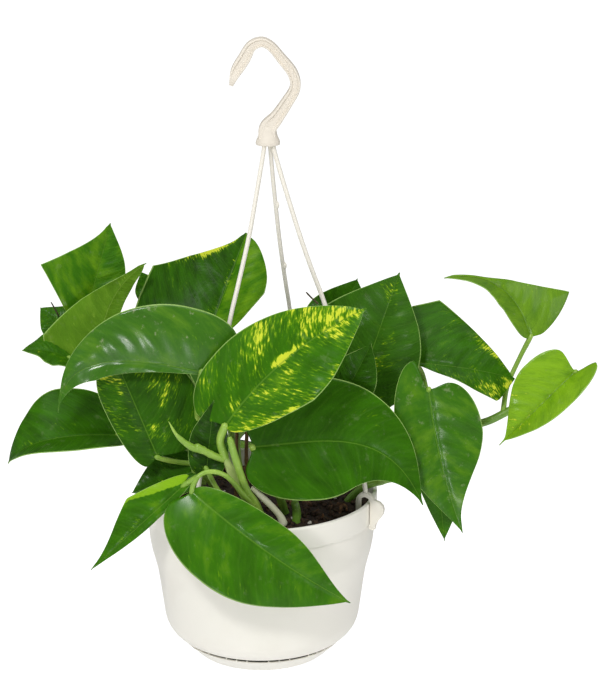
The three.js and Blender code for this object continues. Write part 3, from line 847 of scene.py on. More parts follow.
@dataclass(frozen=True)
class Patch:
    """A variegated place on a leaf: where it is, how far it reaches and how strong it is."""

    along: float
    across: float
    long: float
    wide: float
    strength: float

    def at(self, along: float, across: float) -> float:
        """Tell how strong the patch is at a place on the leaf."""
        distance = ((along - self.along) / self.long) ** 2 + ((across - self.across) / self.wide) ** 2
        return self.strength * math.exp(-distance)


@dataclass(frozen=True)
class Leaf:
    """One leaf and its stalk.

    Sides are named as seen from above the upper face with the tip away. Pairs are left and
    right, or the base end and the tip end.
    """

    base: Point
    tip: Point
    face: Point
    left: float
    right: float
    stalk: tuple[Point, ...]
    stalk_radius: float = 1.7
    reach: Pair = (0.333, 0.667)
    rise: Pair = (0, 0)
    sweep: Pair = (0, 0)
    fold: Pair = (10, 10)
    curl: Pair = (-15, -15)
    twist: float = 0
    lobe: Pair = (0.08, 0.08)
    root: Pair = (0.42, 0.42)
    widest: Pair = (0.3, 0.3)
    taper: Pair = (1.05, 1.05)
    corner: Pair = (0, 0)
    wave: float = 1.5
    waves: float = 1.5
    drip: float = 0.08
    tone: float = 0.5
    right_tone: float = 0
    turned: float = 0
    cool: float = 0.15
    # How strong the whitish marks are: scuffs, and painted sheen on shiny leaves.
    scuff_sheen: float = 0.1
    sheen: float = 0.1
    variegation: float = 0.2
    patches: tuple[Patch, ...] = ()

    ROWS = 56
    COLUMNS = 36
    CROWDING = 1.35
    VEIN_LEAN = 0.45
    VEIN_BEND = 0.9
    THICKNESS = 0.6
    GROOVE = 0.6
    GROOVE_HALF = 1.6
    PUCKER = 0.3
    DIMPLE = 0.55
    DIMPLE_SPANS = (9, 15)
    FULL_RELIEF = 20
    FLUTTER = 0.8
    PHASES = (0.1, 0.6)
    TIP_WIDTH = 0.045

    @cached_property
    def seed(self) -> float:
        """A number of the leaf's own, which its small irregularities come from."""
        return self.base[0] * 0.37 + self.base[2] * 0.11

    @cached_property
    def length(self) -> float:
        """The distance from the base to the tip."""
        return (Vector(self.tip) - Vector(self.base)).length

    @cached_property
    def directions(self) -> tuple[Vector, Vector, Vector]:
        """The directions along the leaf, out of its upper face, and to its right."""
        along = (Vector(self.tip) - Vector(self.base)).normalized()
        up = Vector(self.face)
        up = (up - along * up.dot(along)).normalized()
        return along, up, along.cross(up)

    @cached_property
    def handles(self) -> list[Vector]:
        """The four points that rule the midrib's curve."""
        along, up, side = self.directions
        base = Vector(self.base)
        inner = [
            base + along * self.length * self.reach[i] + up * self.rise[i] + side * self.sweep[i]
            for i in (0, 1)
        ]
        return [base, *inner, Vector(self.tip)]

    def midrib(self, a: float) -> Vector:
        """Find the midrib's point at a share of its length. It runs on straight before 0."""
        p = self.handles
        if a < 0:
            return p[0] + (p[1] - p[0]) * (3 * a)
        b = 1 - a
        return p[0] * b**3 + p[1] * (3 * b * b * a) + p[2] * (3 * b * a * a) + p[3] * a**3

    def heading(self, a: float) -> Vector:
        """Find the midrib's direction at a share of its length."""
        p = self.handles
        b = 1 - a
        return ((p[1] - p[0]) * b * b + (p[2] - p[1]) * (2 * b * a) + (p[3] - p[2]) * a * a).normalized()

    def half_width(self, a: float, k: int) -> float:
        """Find how wide one half of the leaf is, in millimetres.

        Args:
            a: The share of the leaf's length.
            k: 0 for the left half and 1 for the right.

        Returns:
            The half's width.
        """
        most = (self.left, self.right)[k]
        root, widest, corner = self.root[k], self.widest[k], self.corner[k]
        if a < widest:
            x = a / widest
            return most * (root + (1 - root) * ((1 - corner) * math.sqrt(1 - (1 - x) ** 2) + corner * x))
        x = (a - widest) / (1 - widest)
        body = min(1.0, x / (1 - self.drip / 2))
        round_part = max(0.0, math.cos(math.pi / 2 * body)) ** self.taper[k]
        share = (1 - corner) * round_part + corner * (1 - body) ** (1.2 * self.taper[k])
        tail = min(1.0, 3 * x, 0.2 + 0.8 * (1 - x) / self.drip)
        return most * (share + self.TIP_WIDTH * tail)

    def vein_place(self, a: float, t: float) -> float:
        """Find where the side vein through a place leaves the midrib."""
        side = abs(t) * self.half_width(a, int(t > 0)) / self.length
        return a - self.VEIN_LEAN * side - self.VEIN_BEND * side * side

    def point(self, t: float, r: float) -> Vector:
        """Find a point of the blade.

        Args:
            t: Across the blade, from -1 at the left margin to 1 at the right.
            r: Along the blade, from 0 at the base to 1 at the tip, before spacing.

        Returns:
            The point in the pot's frame.
        """
        a = r**self.CROWDING
        k = int(t > 0)
        tau = abs(t)
        _, up, side = self.directions
        heading = self.heading(min(a, 0.999))
        turn = math.radians(self.twist) * a
        normal = up * math.cos(turn) + side * math.sin(turn)
        out = heading.cross(normal).normalized()
        normal = out.cross(heading)
        fold = math.radians(self.fold[k])
        curl = math.radians(self.curl[k] or 0.1)
        outward = (math.sin(fold + curl * tau) - math.sin(fold)) / curl
        upward = (math.cos(fold) - math.cos(fold + curl * tau)) / curl
        half = self.half_width(a, k)
        ripple = self.wave * tau * tau * math.sin(2 * math.pi * (self.waves * a + self.PHASES[k]))
        ripple += self.FLUTTER * tau**3 * noise.noise(Vector((a * 7, 5.0 * k, self.seed))) * 2
        ripple *= math.sin(math.pi * a)
        back = a - self.lobe[k] * (1 - math.cos(math.pi * tau)) / 2 * (1 - a) ** 3
        lift = half * upward + ripple + self.relief(a, t, half)
        return self.midrib(back) + out * (math.copysign(half * outward, t) if t else 0.0) + normal * lift

    def relief(self, a: float, t: float, half: float) -> float:
        """Find how far the blade stands out of its smooth shape: the midrib's groove and the
        pillows between the side veins."""
        side = abs(t) * half
        groove = -self.GROOVE * math.exp(-((side / self.GROOVE_HALF) ** 2)) * (1 - a) ** 0.5
        vein = self.vein_place(a, t)
        shift = noise.noise(Vector((vein * 6, side / 20, self.seed)))
        pillow = math.cos(2 * math.pi * (SIDE_VEINS * vein + 0.4 * shift + 0.5))
        long, wide = self.DIMPLE_SPANS
        dimple = noise.noise(Vector((vein * self.length / long, t * half / wide, self.seed + 9)))
        window = math.sin(math.pi * min(1.0, abs(t))) ** 0.6 * math.sin(math.pi * min(1.0, a * 1.05))
        window *= min(1.0, half / self.FULL_RELIEF)
        return groove + (self.PUCKER * pillow + self.DIMPLE * dimple) * window

    def blade(self, name: str) -> Thing:
        """Make the blade, with its grain, dye and mood attributes.

        Args:
            name: The new object's name.

        Returns:
            The blade, with the materials of its upper face and its underside.
        """
        grid = sculpted_grid(name, self.COLUMNS, self.ROWS, lambda u, v: self.point(2 * u - 1, v))
        for label in ("grain", "dye", "mood"):
            grid.data.attributes.new(label, "FLOAT_VECTOR", "POINT")
        grain, dye, mood = (grid.data.attributes[label].data for label in ("grain", "dye", "mood"))
        columns = self.COLUMNS + 1
        for i in range(len(grid.data.vertices)):
            t = 2 * (i % columns) / self.COLUMNS - 1
            a = (i // columns / self.ROWS) ** self.CROWDING
            side = t * self.half_width(a, int(t > 0)) / self.length
            grain[i].vector = (self.vein_place(a, t), side, self.seed)
            tone = self.tone + self.right_tone * (t > 0) + self.turned * (t > 0.3 + 1.45 * a)
            dye[i].vector = (tone, self.variegation, sum(p.at(a, t) for p in self.patches))
            mood[i].vector = (self.cool, self.scuff_sheen, self.sheen)
        wall = grid.modifiers.new("thickness", "SOLIDIFY")
        wall.thickness = self.THICKNESS * MM
        wall.offset = 0
        wall.use_quality_normals = True
        wall.material_offset = 1
        coat(grid, UPPER_LEAF, UNDER_LEAF)
        apply_modifiers(grid)
        bpy.ops.object.shade_smooth()
        return grid

    def stalk_piece(self, name: str) -> Thing:
        """Make the stalk, thicker where it leaves the stem and under the blade."""
        base = Vector(self.base)
        last = Vector(self.stalk[-1])
        inside = base + (base - last).normalized() * 2.5
        route = [*self.stalk, self.base, inside]
        length = sum((Vector(b) - Vector(a)).length for a, b in zip(route, route[1:]))

        def radius(v: float) -> float:
            foot = 0.22 * math.exp(-v * length / 12)
            knee = 0.1 * math.exp(-((((1 - v) * length - 9) / 6) ** 2))
            return self.stalk_radius * (0.92 + foot + knee) * min(1.0, 0.4 + (1 - v) * length / 4)

        made = tube(name, route, radius, sides=12, step=2)
        coat(made, PALE_STALK)
        return made


@dataclass(frozen=True)
class Stem:
    """A stem, rooted in the soil or branching off another."""

    radius: float
    route: tuple[Point, ...]
    finish: StemFinish = GREEN_STEM
    knots: tuple[float, ...] = (0.45, 0.72)
    girth: tuple[float, ...] = (1, 1)

    def piece(self, name: str) -> Thing:
        """Make the stem, with its girth along the way, swollen at its knots and rounded at its end."""

        def radius(v: float) -> float:
            knots = sum(0.16 * math.exp(-(((v - k) / 0.03) ** 2)) for k in self.knots)
            i = min(len(self.girth) - 2, int(v * (len(self.girth) - 1)))
            share = v * (len(self.girth) - 1) - i
            share = share * share * (3 - 2 * share)
            girth = self.girth[i] * (1 - share) + self.girth[i + 1] * share
            return self.radius * girth * (0.96 + knots) * min(1.0, 0.55 + (1 - v) * 12)

        made = tube(name, self.route, radius, sides=14, step=1.6)
        coat(made, self.finish)
        return made


@dataclass(frozen=True)
class Vine:
    """One leafy stem: everything that grows together."""

    name: str
    stems: tuple[Stem, ...]
    leaves: tuple[Leaf, ...]

    def build(self) -> None:
        """Make the leafy stem and fix it to the frame."""
        parts = [leaf.blade(f"blade {i}") for i, leaf in enumerate(self.leaves)]
        parts += [leaf.stalk_piece(f"stalk {i}") for i, leaf in enumerate(self.leaves)]
        parts += [stem.piece(f"stem {i}") for i, stem in enumerate(self.stems)]
        install(join(parts, self.name + "_leafy"), "foliage", self.name)


VINES = (
    Vine("vine_front", (
        Stem(3.2, ((-1, -44, -28), (-1, -44, -12), (-6, -50, 6), (-17, -58, 30), (-23, -63, 48)), SHEATH,
             (), (1, 1, 1, 1, 0.7)),
        Stem(2.6, ((2, -50, -6), (-3, -55, 10), (-8.1, -60, 20.2), (-14.5, -66, 42), (-19, -67, 60)),
             PALE_STALK, (), (1.2, 1.1, 1, 1, 0.9)),
        Stem(2.3, ((-5, -58, 22), (5.3, -56, 10.7), (13, -55, 1), (15.5, -54, -6)), STUB, (),
             (0.7, 1, 1, 1.3)),
        Stem(3, ((23.5, -42, -14), (23.5, -42, 0), (22, -42, 7)), GREEN_STEM, (), (1.1, 1, 0.9)),
        Stem(1.2, ((-17, -20, -14), (-16, -20, 30), (-15, -22, 66)), DRY_STEM, (0.6,)),
        Stem(1.3, ((-8, -20, -14), (-9.5, -20, 30), (-8, -22, 66)), DRY_STEM, (0.5,)),
        Stem(2.3, ((-1, -44, -30), (0, -46, -6), (-4, -55, 9), (-11, -62, 19.3), (-16, -66, 27.7),
             (-21.3, -70, 34.7), (-27.6, -72, 38.2), (-34.5, -74, 38.6), (-39.5, -75.5, 35.8),
             (-43, -76, 31)), PALE_STALK, (), (1.3, 1.25, 1.1, 0.8, 0.7, 0.7)),
        Stem(2.4, ((-23, -62, 43), (-30, -65, 47), (-41, -69, 55)), PALE_STALK),
        Stem(2.4, ((-36, -67, 50), (-44, -70, 55), (-52, -72, 63), (-57, -74, 73)), PALE_STALK, (),
             (0.7, 1, 0.75, 0.4, 0.12)),
    ), (
        Leaf((-22, -64, 66), (67, -72, 147), (-0.2, -0.85, 0.45), 35, 33, ((-22, -62, 44), (-25, -63, 56)),
             stalk_radius=2.5, rise=(6, 6), sweep=(-9, -9), lobe=(0.05, 0), root=(0.5, 0.08),
             widest=(0.22, 0.5), taper=(0.9, 0.8), corner=(0, 0.35), cool=0.05, variegation=0.6,
             patches=(Patch(0.35, 0.95, 0.35, 0.1, 0.5), Patch(0.75, -0.5, 0.3, 0.5, 0.25),
             Patch(0.5, -0.05, 0.07, 0.06, 1.2), Patch(0.9, 0.1, 0.12, 0.5, 0.25))),
        Leaf((-48, -74, 30), (-108, -82, -25), (0.1, -0.9, 0.4), 5, 18.5, ((-39.5, -75, 36),
             (-44, -75, 33)), stalk_radius=1.5, fold=(20, 5), root=(0.2, 0.15), widest=(0.4, 0.42),
             taper=(1.05, 1.6), corner=(0, 0.6), turned=0.6, cool=0, variegation=0.1,
             patches=(Patch(0.6, 0.15, 0.22, 0.12, 0.45),)),
        Leaf((-43, -77, 27), (58, -86, -46), (-0.05, -0.93, 0.35), 19.5, 40, ((-39.5, -75.5, 36),
             (-42, -76.5, 31)), stalk_radius=1.5, rise=(14, 8), sweep=(4, 5), lobe=(0, 0.04),
             root=(0.03, 0.38), widest=(0.47, 0.3), taper=(1.3, 1.05), tone=0.52, cool=0, sheen=0.25),
        Leaf((-34, -61, 36), (-29, -59, 82), (0, -0.9, 0.3), 13, 13, ((-12, -52, 6), (-26, -60, 20)),
             tone=0.15),
    )),
    Vine("vine_centre", (
        Stem(2.6, ((17, -30, -28), (17, -30, -10), (10, -36, 12), (2, -44, 34))),
    ), (
        Leaf((-5, -50, 47), (105, -58, 10), (0, -0.9, 0.4), 42, 38, ((6, -40, 22), (-1, -46, 38)),
             stalk_radius=2.1, sweep=(-16, -45), fold=(18, 10), lobe=(0.04, 0.04), taper=(1.25, 1.25),
             tone=0.38, cool=0, variegation=0.05),
    )),
    Vine("vine_right", (
        Stem(2.6, ((56, -4, -28), (56, -4, -12), (68, -6, 2), (82, -8, 8), (97, -14, 14), (106, -20, 30),
             (108, -24, 48))),
    ), (
        Leaf((109, -32, 80), (132, -44, -15), (0, -0.95, 0.25), 31, 25, ((108, -24, 46), (108, -24, 64),
             (108, -29, 77)), sweep=(4, 4), lobe=(0.03, 0.2), root=(0.42, 0.32), taper=(1.85, 1.25),
             tone=0.55, scuff_sheen=0.3, sheen=0.3, variegation=0),
        Leaf((113, -16, 54), (122, -20, -31), (-0.1, -0.95, 0.2), 20, 15, ((106, -20, 34), (110, -15, 48)),
             tone=0.45),
    )),
    Vine("vine_far_right", (
        Stem(2.8, ((44, 24, -28), (44, 24, -10), (58, 24, 14), (88, 18, 30), (122, 8, 38), (149, -2, 47),
             (162, -3, 54), (176, 2, 60))),
    ), (
        Leaf((101.4, 10, 84.8), (167.6, 2, 75.6), (0.1, -0.75, 0.6), 47, 19, ((122, 8, 38), (112, 14, 58),
             (107, 14, 76)), rise=(4, 8), fold=(5, 10), lobe=(0.12, 0), root=(0.87, 0.05),
             widest=(0.2, 0.87), taper=(0.82, 0.8), corner=(1, 1), tone=0.45, cool=0.05,
             patches=(Patch(0.75, -0.9, 0.35, 0.3, 0.6), Patch(0.8, 0.6, 0.35, 0.6, 0.6))),
        Leaf((178, 10, 102), (120, 5, 144), (-0.1, -0.95, 0.3), 14, 36, ((160, -3, 53), (163, 3, 70),
             (171, 8, 88)), sweep=(20, 22), fold=(35, 10), twist=50, lobe=(0, 0), root=(0.12, 0.2),
             widest=(0.4, 0.17), taper=(1.05, 4), corner=(0, 0.8), tone=0.85, cool=0.3, scuff_sheen=0.35,
             sheen=0.4, variegation=0.3),
        Leaf((205, -20, 88), (156, -28, 40), (0.1, -0.9, 0.3), 20, 26, ((172, 1, 58), (190, -2, 66),
             (203, -8, 82)), fold=(68, 5), curl=(-20, -15), lobe=(0.2, 0.04), root=(0.4, 0.6),
             taper=(1.05, 1.35), drip=0.2, tone=0.95, cool=0, sheen=0.45, variegation=0.45),
    )),
    Vine("vine_upper_right", (
        Stem(2.4, ((26, 2, -28), (26, 2, -8), (34, 2, 24), (46, 2, 46))),
        Stem(0.6, ((37.5, 1, 128), (33, 0, 132.5), (29.7, 0, 136.1)), BRACT, knots=()),
    ), (
        Leaf((64, 5, 66), (91, 8, 147), (0, -0.85, 0.5), 46, 33, ((40, 2, 36), (52, 6, 54)), tone=0.45,
             cool=0.4, variegation=0.15, patches=(Patch(0.15, -0.1, 0.22, 0.5, 0.6),
             Patch(0.9, 0, 0.2, 0.6, 0.5), Patch(0.6, 0.3, 0.3, 0.12, 0.35))),
        Leaf((46, 27, 92), (64, 32, 136), (0, -0.8, 0.5), 24, 24, ((30, 2, 8), (34, 18, 40), (42, 27, 74)),
             tone=0.4),
        Leaf((53, -30, 72), (72, -26, 109), (0.1, -0.8, 0.5), 16, 16, ((36, 2, 28), (43, -14, 42),
             (50, -26, 61)), tone=0.35),
    )),
    Vine("vine_left", (
        Stem(2.6, ((-26, -20, -28), (-26, -20, -8), (-34, -26, 16), (-42, -32, 30))),
    ), (
        Leaf((-37, -45, 96), (-128.5, -55, 72), (-0.15, -0.9, 0.4), 10, 40, ((-34, -26, 16), (-40, -32, 44),
             (-40, -40, 76)), stalk_radius=2.1, reach=(0.25, 0.84), rise=(5, 12), sweep=(12, 44),
             fold=(0, 32), curl=(-15, -30), lobe=(0, 0.22), root=(0.1, 0.6), widest=(0.65, 0.24),
             taper=(0.8, 1.7), corner=(0.8, 0), drip=0.22, tone=0.55, cool=0.3, scuff_sheen=0.6, sheen=0.6,
             variegation=0.05, patches=(Patch(0.15, 0.35, 0.12, 0.15, 0.5),)),
        Leaf((-66, -48, 39), (-101, -30, 120), (0.1, -0.95, 0.3), 20, 41, ((-40, -31, 28), (-56, -42, 34)),
             fold=(20, 5), lobe=(0.03, 0.03), root=(0.4, 0.4), widest=(0.5, 0.3), tone=0.3, variegation=0.4,
             patches=(Patch(0.75, -0.5, 0.35, 0.35, 0.35), Patch(0.5, 0.45, 0.3, 0.2, 0.2))),
        Leaf((-43, -36, 25), (-84, -42, 12), (0, -0.8, 0.4), 12, 18, ((-32, -25, 12), (-40, -33, 22)),
             tone=0.35),
    )),
    Vine("vine_left_low", (
        Stem(2.3, ((-46, 2, -28), (-46, 2, -10), (-58, -2, 10), (-76, -10, 28))),
    ), (
        Leaf((-93, -20, 44), (-165, -30, 28), (0, -0.7, 0.7), 19, 36, ((-72, -8, 24), (-84, -16, 38)),
             reach=(0.33, 0.8), rise=(18, 34), fold=(45, 5), curl=(-20, -15), root=(0.15, 0.4), tone=0.38,
             cool=0.05, variegation=0.05, patches=(Patch(0.5, 0.1, 0.2, 0.15, 0.5),)),
    )),
    Vine("vine_upper_left", (
        Stem(2.6, ((-40, 26, -28), (-40, 26, -10), (-56, 26, 26), (-78, 22, 56), (-98, 16, 74))),
        Stem(0.5, ((-96.8, 38, 160), (-98.6, 39, 165), (-99.8, 39.4, 169.5)), BRACT, knots=()),
        Stem(0.5, ((-134.6, 22, 113), (-136.6, 21, 118), (-139.1, 20, 123.3)), BRACT, knots=()),
    ), (
        Leaf((-118, 25, 108), (-100, 40, 172), (0.15, -0.85, 0.5), 38, 19, ((-96, 17, 72), (-112, 22, 92)),
             fold=(15, 10), root=(0.15, 0.3), widest=(0.45, 0.5), taper=(1.25, 1.05), corner=(1, 0.2),
             wave=0.5, tone=0.6, cool=0.1, variegation=0.1),
        Leaf((-131, 18, 101), (-147, 25, 118), (0.1, -0.8, 0.5), 10, 16, ((-98, 16, 74), (-120, 16, 88))),
        Leaf((-107, 6, 92), (-75, 16, 151), (0.1, 0.95, -0.2), 9, 38.5, ((-86, 20, 64), (-102, 10, 80)),
             sweep=(10, 13), fold=(10, 5), lobe=(0.03, 0.12), root=(0.5, 0.8), widest=(0.12, 0.15),
             taper=(0.5, 2.1), corner=(0, 0.7)),
        Leaf((-126, 5, 89), (-157, 0, 96), (0, -0.3, 0.9), 14, 20, ((-98, 16, 74), (-114, 8, 80)),
             rise=(4, 4), variegation=0.3),
    )),
    Vine("vine_upper_centre", (
        Stem(2.4, ((-14, 16, -28), (-14, 16, -7), (-22, 16, 40), (-32, 16, 76))),
    ), (
        Leaf((-35, 15, 102), (-10, 45, 164), (-0.1, -0.8, 0.6), 53, 27, ((-30, 16, 70), (-35, 15, 90)),
             stalk_radius=2, lobe=(0.04, 0.04), root=(1, 0.1), widest=(0.45, 0.52), taper=(1.25, 0.5),
             corner=(1, 0.6), wave=3, tone=0.3, right_tone=0.36, cool=0, scuff_sheen=0, sheen=0.02,
             variegation=0.1, patches=(Patch(0.75, -0.95, 0.25, 0.25, 0.9), Patch(0.6, 0, 0.5, 0.12, 0.4))),
        Leaf((-74, 47, 117), (-81, 52, 135), (0, -0.8, 0.5), 9, 9, ((-22, 16, 42), (-44, 34, 76),
             (-70, 46, 106)), stalk_radius=1.4),
    )),
    Vine("vine_back_left", (
        Stem(2.5, ((-16, 44, -28), (-16, 44, -8), (-18, 54, 14), (-18, 60, 26))),
    ), (
        Leaf((-14, 68, 41), (-40, 128, 60), (-0.2, 0.5, 0.8), 33, 31, ((-18, 58, 22), (-16, 64, 34)),
             rise=(12, 14)),
        Leaf((-46, 58, 30), (-104, 97, 51), (-0.5, 0.4, 0.8), 33, 33, ((-18, 52, 10), (-34, 56, 24)),
             rise=(12, 16)),
        Leaf((-6, 80, 2), (-14, 127, -43), (0, 0.9, 0.5), 30, 30, ((-18, 54, 14), (-12, 66, 16),
             (-7, 76, 8)), rise=(8, 12), variegation=0.5),
    )),
    Vine("vine_back_right", (
        Stem(2.5, ((26, 42, -28), (26, 42, -8), (34, 50, 14), (38, 54, 24))),
    ), (
        Leaf((37, 70, 41), (57, 127, 72), (0.1, 0.55, 0.8), 31, 32, ((36, 52, 18), (37, 62, 32)),
             rise=(12, 14), variegation=0.6),
        Leaf((52, 58, 26), (112, 96, 32), (0.5, 0.4, 0.8), 33, 33, ((36, 52, 20), (44, 56, 24)),
             rise=(12, 16)),
        Leaf((54, 74, 3), (65, 108, -58), (0.3, 0.85, 0.3), 27, 27, ((35, 51, 16), (44, 64, 17),
             (52, 72, 9)), rise=(8, 12)),
    )),
)


# Pot, saucer and soil


POST_CIRCLE = 26
POST_TURN = 0.8


@dataclass
class Pot:
    """The thin moulded pot.

    Its holes are given by their count, circle, first turn and radius, and its outside from the
    floor up to the rim's band.
    """

    rim_radius: float = 77.5
    rim_band: float = 15
    wall: float = 1.9
    height: float = 102
    floor_raise: float = 2
    floor: float = 2
    holes: tuple[tuple[int, float, float, float], ...] = ((6, 44, 0.3, 4), (3, POST_CIRCLE, POST_TURN, 2.8))
    cutter: Pair = (-110, -90)
    outer: tuple[Pair, ...] = (
        (55, -101.6), (57.6, -100.4), (60, -98.7), (62.2, -96.4), (64, -93.6), (65.2, -90.6), (65.9, -87.5),
        (66.5, -83), (67.4, -76), (68.8, -65), (70.3, -55), (72.3, -46.5), (73.8, -41), (74.8, -35.5),
        (75.4, -31), (75.8, -24), (76, -18), (76, -15.4),
    )

    def profile(self) -> list[Pair]:
        """The wall's outline, from the floor's underside round the rim to its inside."""
        bottom = -self.height + self.floor_raise
        lip = self.rim_radius
        inner = [(r - self.wall, z) for r, z in reversed(self.outer[5:-1])]
        return [
            (0, bottom), (50, bottom), (52, -self.height), *self.outer, (lip, -self.rim_band), (lip, -0.8),
            (lip - 0.8, 0), (lip - 2.4, 0), (lip - 3, -0.8), *inner, (61.5, -94.6),
            (58.5, bottom + self.floor), (0, bottom + self.floor),
        ]

    def build(self) -> None:
        """Make the pot, bore its holes and fix it to the frame."""
        body = lathe("pot_moulded", self.profile())
        rounded(body, 0.5)
        for count, circle, start, radius in self.holes:
            for i in range(count):
                bore(body, round_the_pot(circle, 2 * math.pi / count * i + start), radius, *self.cutter)
        coat(body, POT_PLASTIC)
        activate(body)
        smooth_up_to(30)
        install(body, "pot_plastic", "pot")


@dataclass
class Saucer:
    """The shallow dish under the pot, with ribs on its lip and posts through the pot's floor.

    Its outside and inside are given by radius and rise above the foot, and a post's shaft and
    head by radius and end heights.
    """

    outer: tuple[Pair, ...] = (
        (0, 1.2), (38, 1.2), (40, 0), (43.6, 0), (45.4, 0.9), (47.6, 2.9), (50, 5.6), (52, 7.4),
        (53.6, 8.8), (54.8, 10.2),
    )
    inner: tuple[Pair, ...] = ((51.8, 9.6), (48.4, 6.4), (43, 2.6), (0, 2.6))
    top: float = -103
    lip: float = 55.6
    wall: float = 1.8
    ribs: int = 48
    rib_size: Point = (1.2, 0.9, 1.9)
    post_parts: tuple[Point, ...] = ((2.5, -112.4, -97.2), (4, -97.7, -95.7))

    def build(self) -> None:
        """Make the dish, its ribs and its posts, and fix it to the frame."""
        outer, inner = ([(r, FOOT_HEIGHT + up) for r, up in side] for side in (self.outer, self.inner))
        lip = [(self.lip, self.top), (self.lip - self.wall, self.top)]
        dish = lathe("saucer_moulded", [*outer, *lip, *inner])
        rounded(dish, 0.4)
        parts = [dish]
        for k in range(self.ribs):
            if k % 4 == 3:
                continue
            parts.append(self.rib((k + 0.7) * 2 * math.pi / self.ribs - math.pi / 2))
        for k in range(3):
            parts += self.post(2 * math.pi / 3 * k + POST_TURN)
        whole = join(parts, "saucer_moulded")
        # The second material is painted shade for the dish's inside.
        coat(whole, POT_PLASTIC, GAP_SHADE_PLASTIC)
        self.paint_gap_shade(whole)
        install(whole, "pot_plastic", "saucer")

    def paint_gap_shade(self, whole: Thing) -> None:
        """Paint the dish's inside dark brown as painted shade, which shows as a dark line through the gap
        under the pot.
        """
        middle = place((0, 0, 0))
        # Upward faces inside the lip get the dark painted shade.
        for face in whole.data.polygons:
            away = (face.center - middle).to_2d().length
            if face.normal.z > 0.05 and away < (self.lip - self.wall + 0.1) * MM:
                face.material_index = 1

    def rib(self, turn: float) -> Thing:
        """Make one of the lip's spacer ribs, which stops just short of the pot."""
        deselect()
        where = place((*round_the_pot(self.lip - self.wall / 2, turn), self.top - 0.25))
        bpy.ops.mesh.primitive_cube_add(size=1, location=where, rotation=(0, 0, turn))
        rib = bpy.context.object
        rib.scale = Vector(self.rib_size) * MM
        bake_transform()
        rounded(rib, 0.15, 1)
        return rib

    def post(self, turn: float) -> list[Thing]:
        """Make one of the posts and its head."""
        made = []
        for radius, low, high in self.post_parts:
            made.append(cylinder(*round_the_pot(POST_CIRCLE, turn), radius, low, high, 24))
            bake_transform()
            rounded(made[-1], 0.3)
        return made


@dataclass
class Soil:
    """The potting mix: a mound with a crumbly top."""

    edge: float = -12
    mound: float = 6
    radius: float = 73.8
    crumbs: int = 620
    seed: int = 11
    rings: int = 46
    columns: int = 150
    side: tuple[Pair, ...] = ((73.8, -18), (71.6, -41), (68.1, -55), (63.7, -87.5), (58, -97.7), (0, -97.7))

    def height(self, x: float, y: float) -> float:
        """Find the height of the soil's top."""
        r = math.hypot(x, y)
        base = self.edge + self.mound * (1 - (r / 77.5) ** 2)
        broad = noise.noise(Vector((x, y, 3)) * 0.06) * 1.6
        lumps = noise.fractal(Vector((x, y, 7)) * 0.24, 0.8, 2.1, 4) * 1.1
        return base + (broad + lumps) * min(1.0, (75 - r) / 6)

    def build(self) -> None:
        """Make the mound and its crumbs, and fix them to the frame."""
        rows = self.rings + len(self.side)

        def where(u: float, v: float) -> Point:
            turn = 2 * math.pi * u
            k = v * rows
            if k <= self.rings:
                x, y = round_the_pot(self.radius * k / self.rings, turn)
                return (x, y, self.height(x, y))
            r, z = self.side[min(len(self.side), round(k) - self.rings) - 1]
            return (*round_the_pot(r, turn), z)

        mound = sculpted_grid("soil_crumbly", self.columns, rows, where)
        close_tube(mound, 80)
        coat(mound, SOIL)
        install(join([mound, *self.scattered()], "soil_crumbly"), "soil", "soil")

    def scattered(self) -> list[Thing]:
        """Scatter crumbs, bark chips and pale grit over the top."""
        dice = random.Random(self.seed)
        kinds = [(CRUMB, 0.84, (0.9, 2.4), (1, 1, 0.8)), (BARK, 0.12, (1.4, 3.2), (1.5, 0.8, 0.35)),
                 (GRIT, 0.04, (0.8, 1.5), (1, 1, 0.9))]
        moulds = []
        for finish, *_ in kinds:
            deselect()
            bpy.ops.mesh.primitive_ico_sphere_add(subdivisions=2, radius=1)
            mould = bpy.context.object
            for vertex in mould.data.vertices:
                vertex.co *= 1 + 0.55 * noise.noise(vertex.co * 1.7 + Vector((len(moulds) * 9.0, 0, 0)))
            coat(mould, finish)
            bpy.ops.object.shade_smooth()
            moulds.append(mould)
        made = []
        for _ in range(self.crumbs):
            pick = dice.random()
            k = 0 if pick < kinds[0][1] else 1 if pick < kinds[0][1] + kinds[1][1] else 2
            _, _, (least, most), flat = kinds[k]
            r = (self.radius - 4) * math.sqrt(dice.random())
            x, y = round_the_pot(r, dice.uniform(0, 2 * math.pi))
            size = dice.uniform(least, most)
            crumb = moulds[k].copy()
            crumb.data = moulds[k].data.copy()
            bpy.context.collection.objects.link(crumb)
            angle = dice.uniform(0, 6.28)
            spin = Matrix.Rotation(angle, 4, Vector([dice.uniform(-1, 1) for _ in range(3)]))
            shape = Matrix.Diagonal((*[size * share * MM for share in flat], 1))
            seat = Matrix.Translation(place((x, y, self.height(x, y) + size * 0.25)))
            crumb.data.transform(seat @ spin @ shape)
            made.append(crumb)
        for mould in moulds:
            bpy.data.objects.remove(mould)
        return made


# Hanger


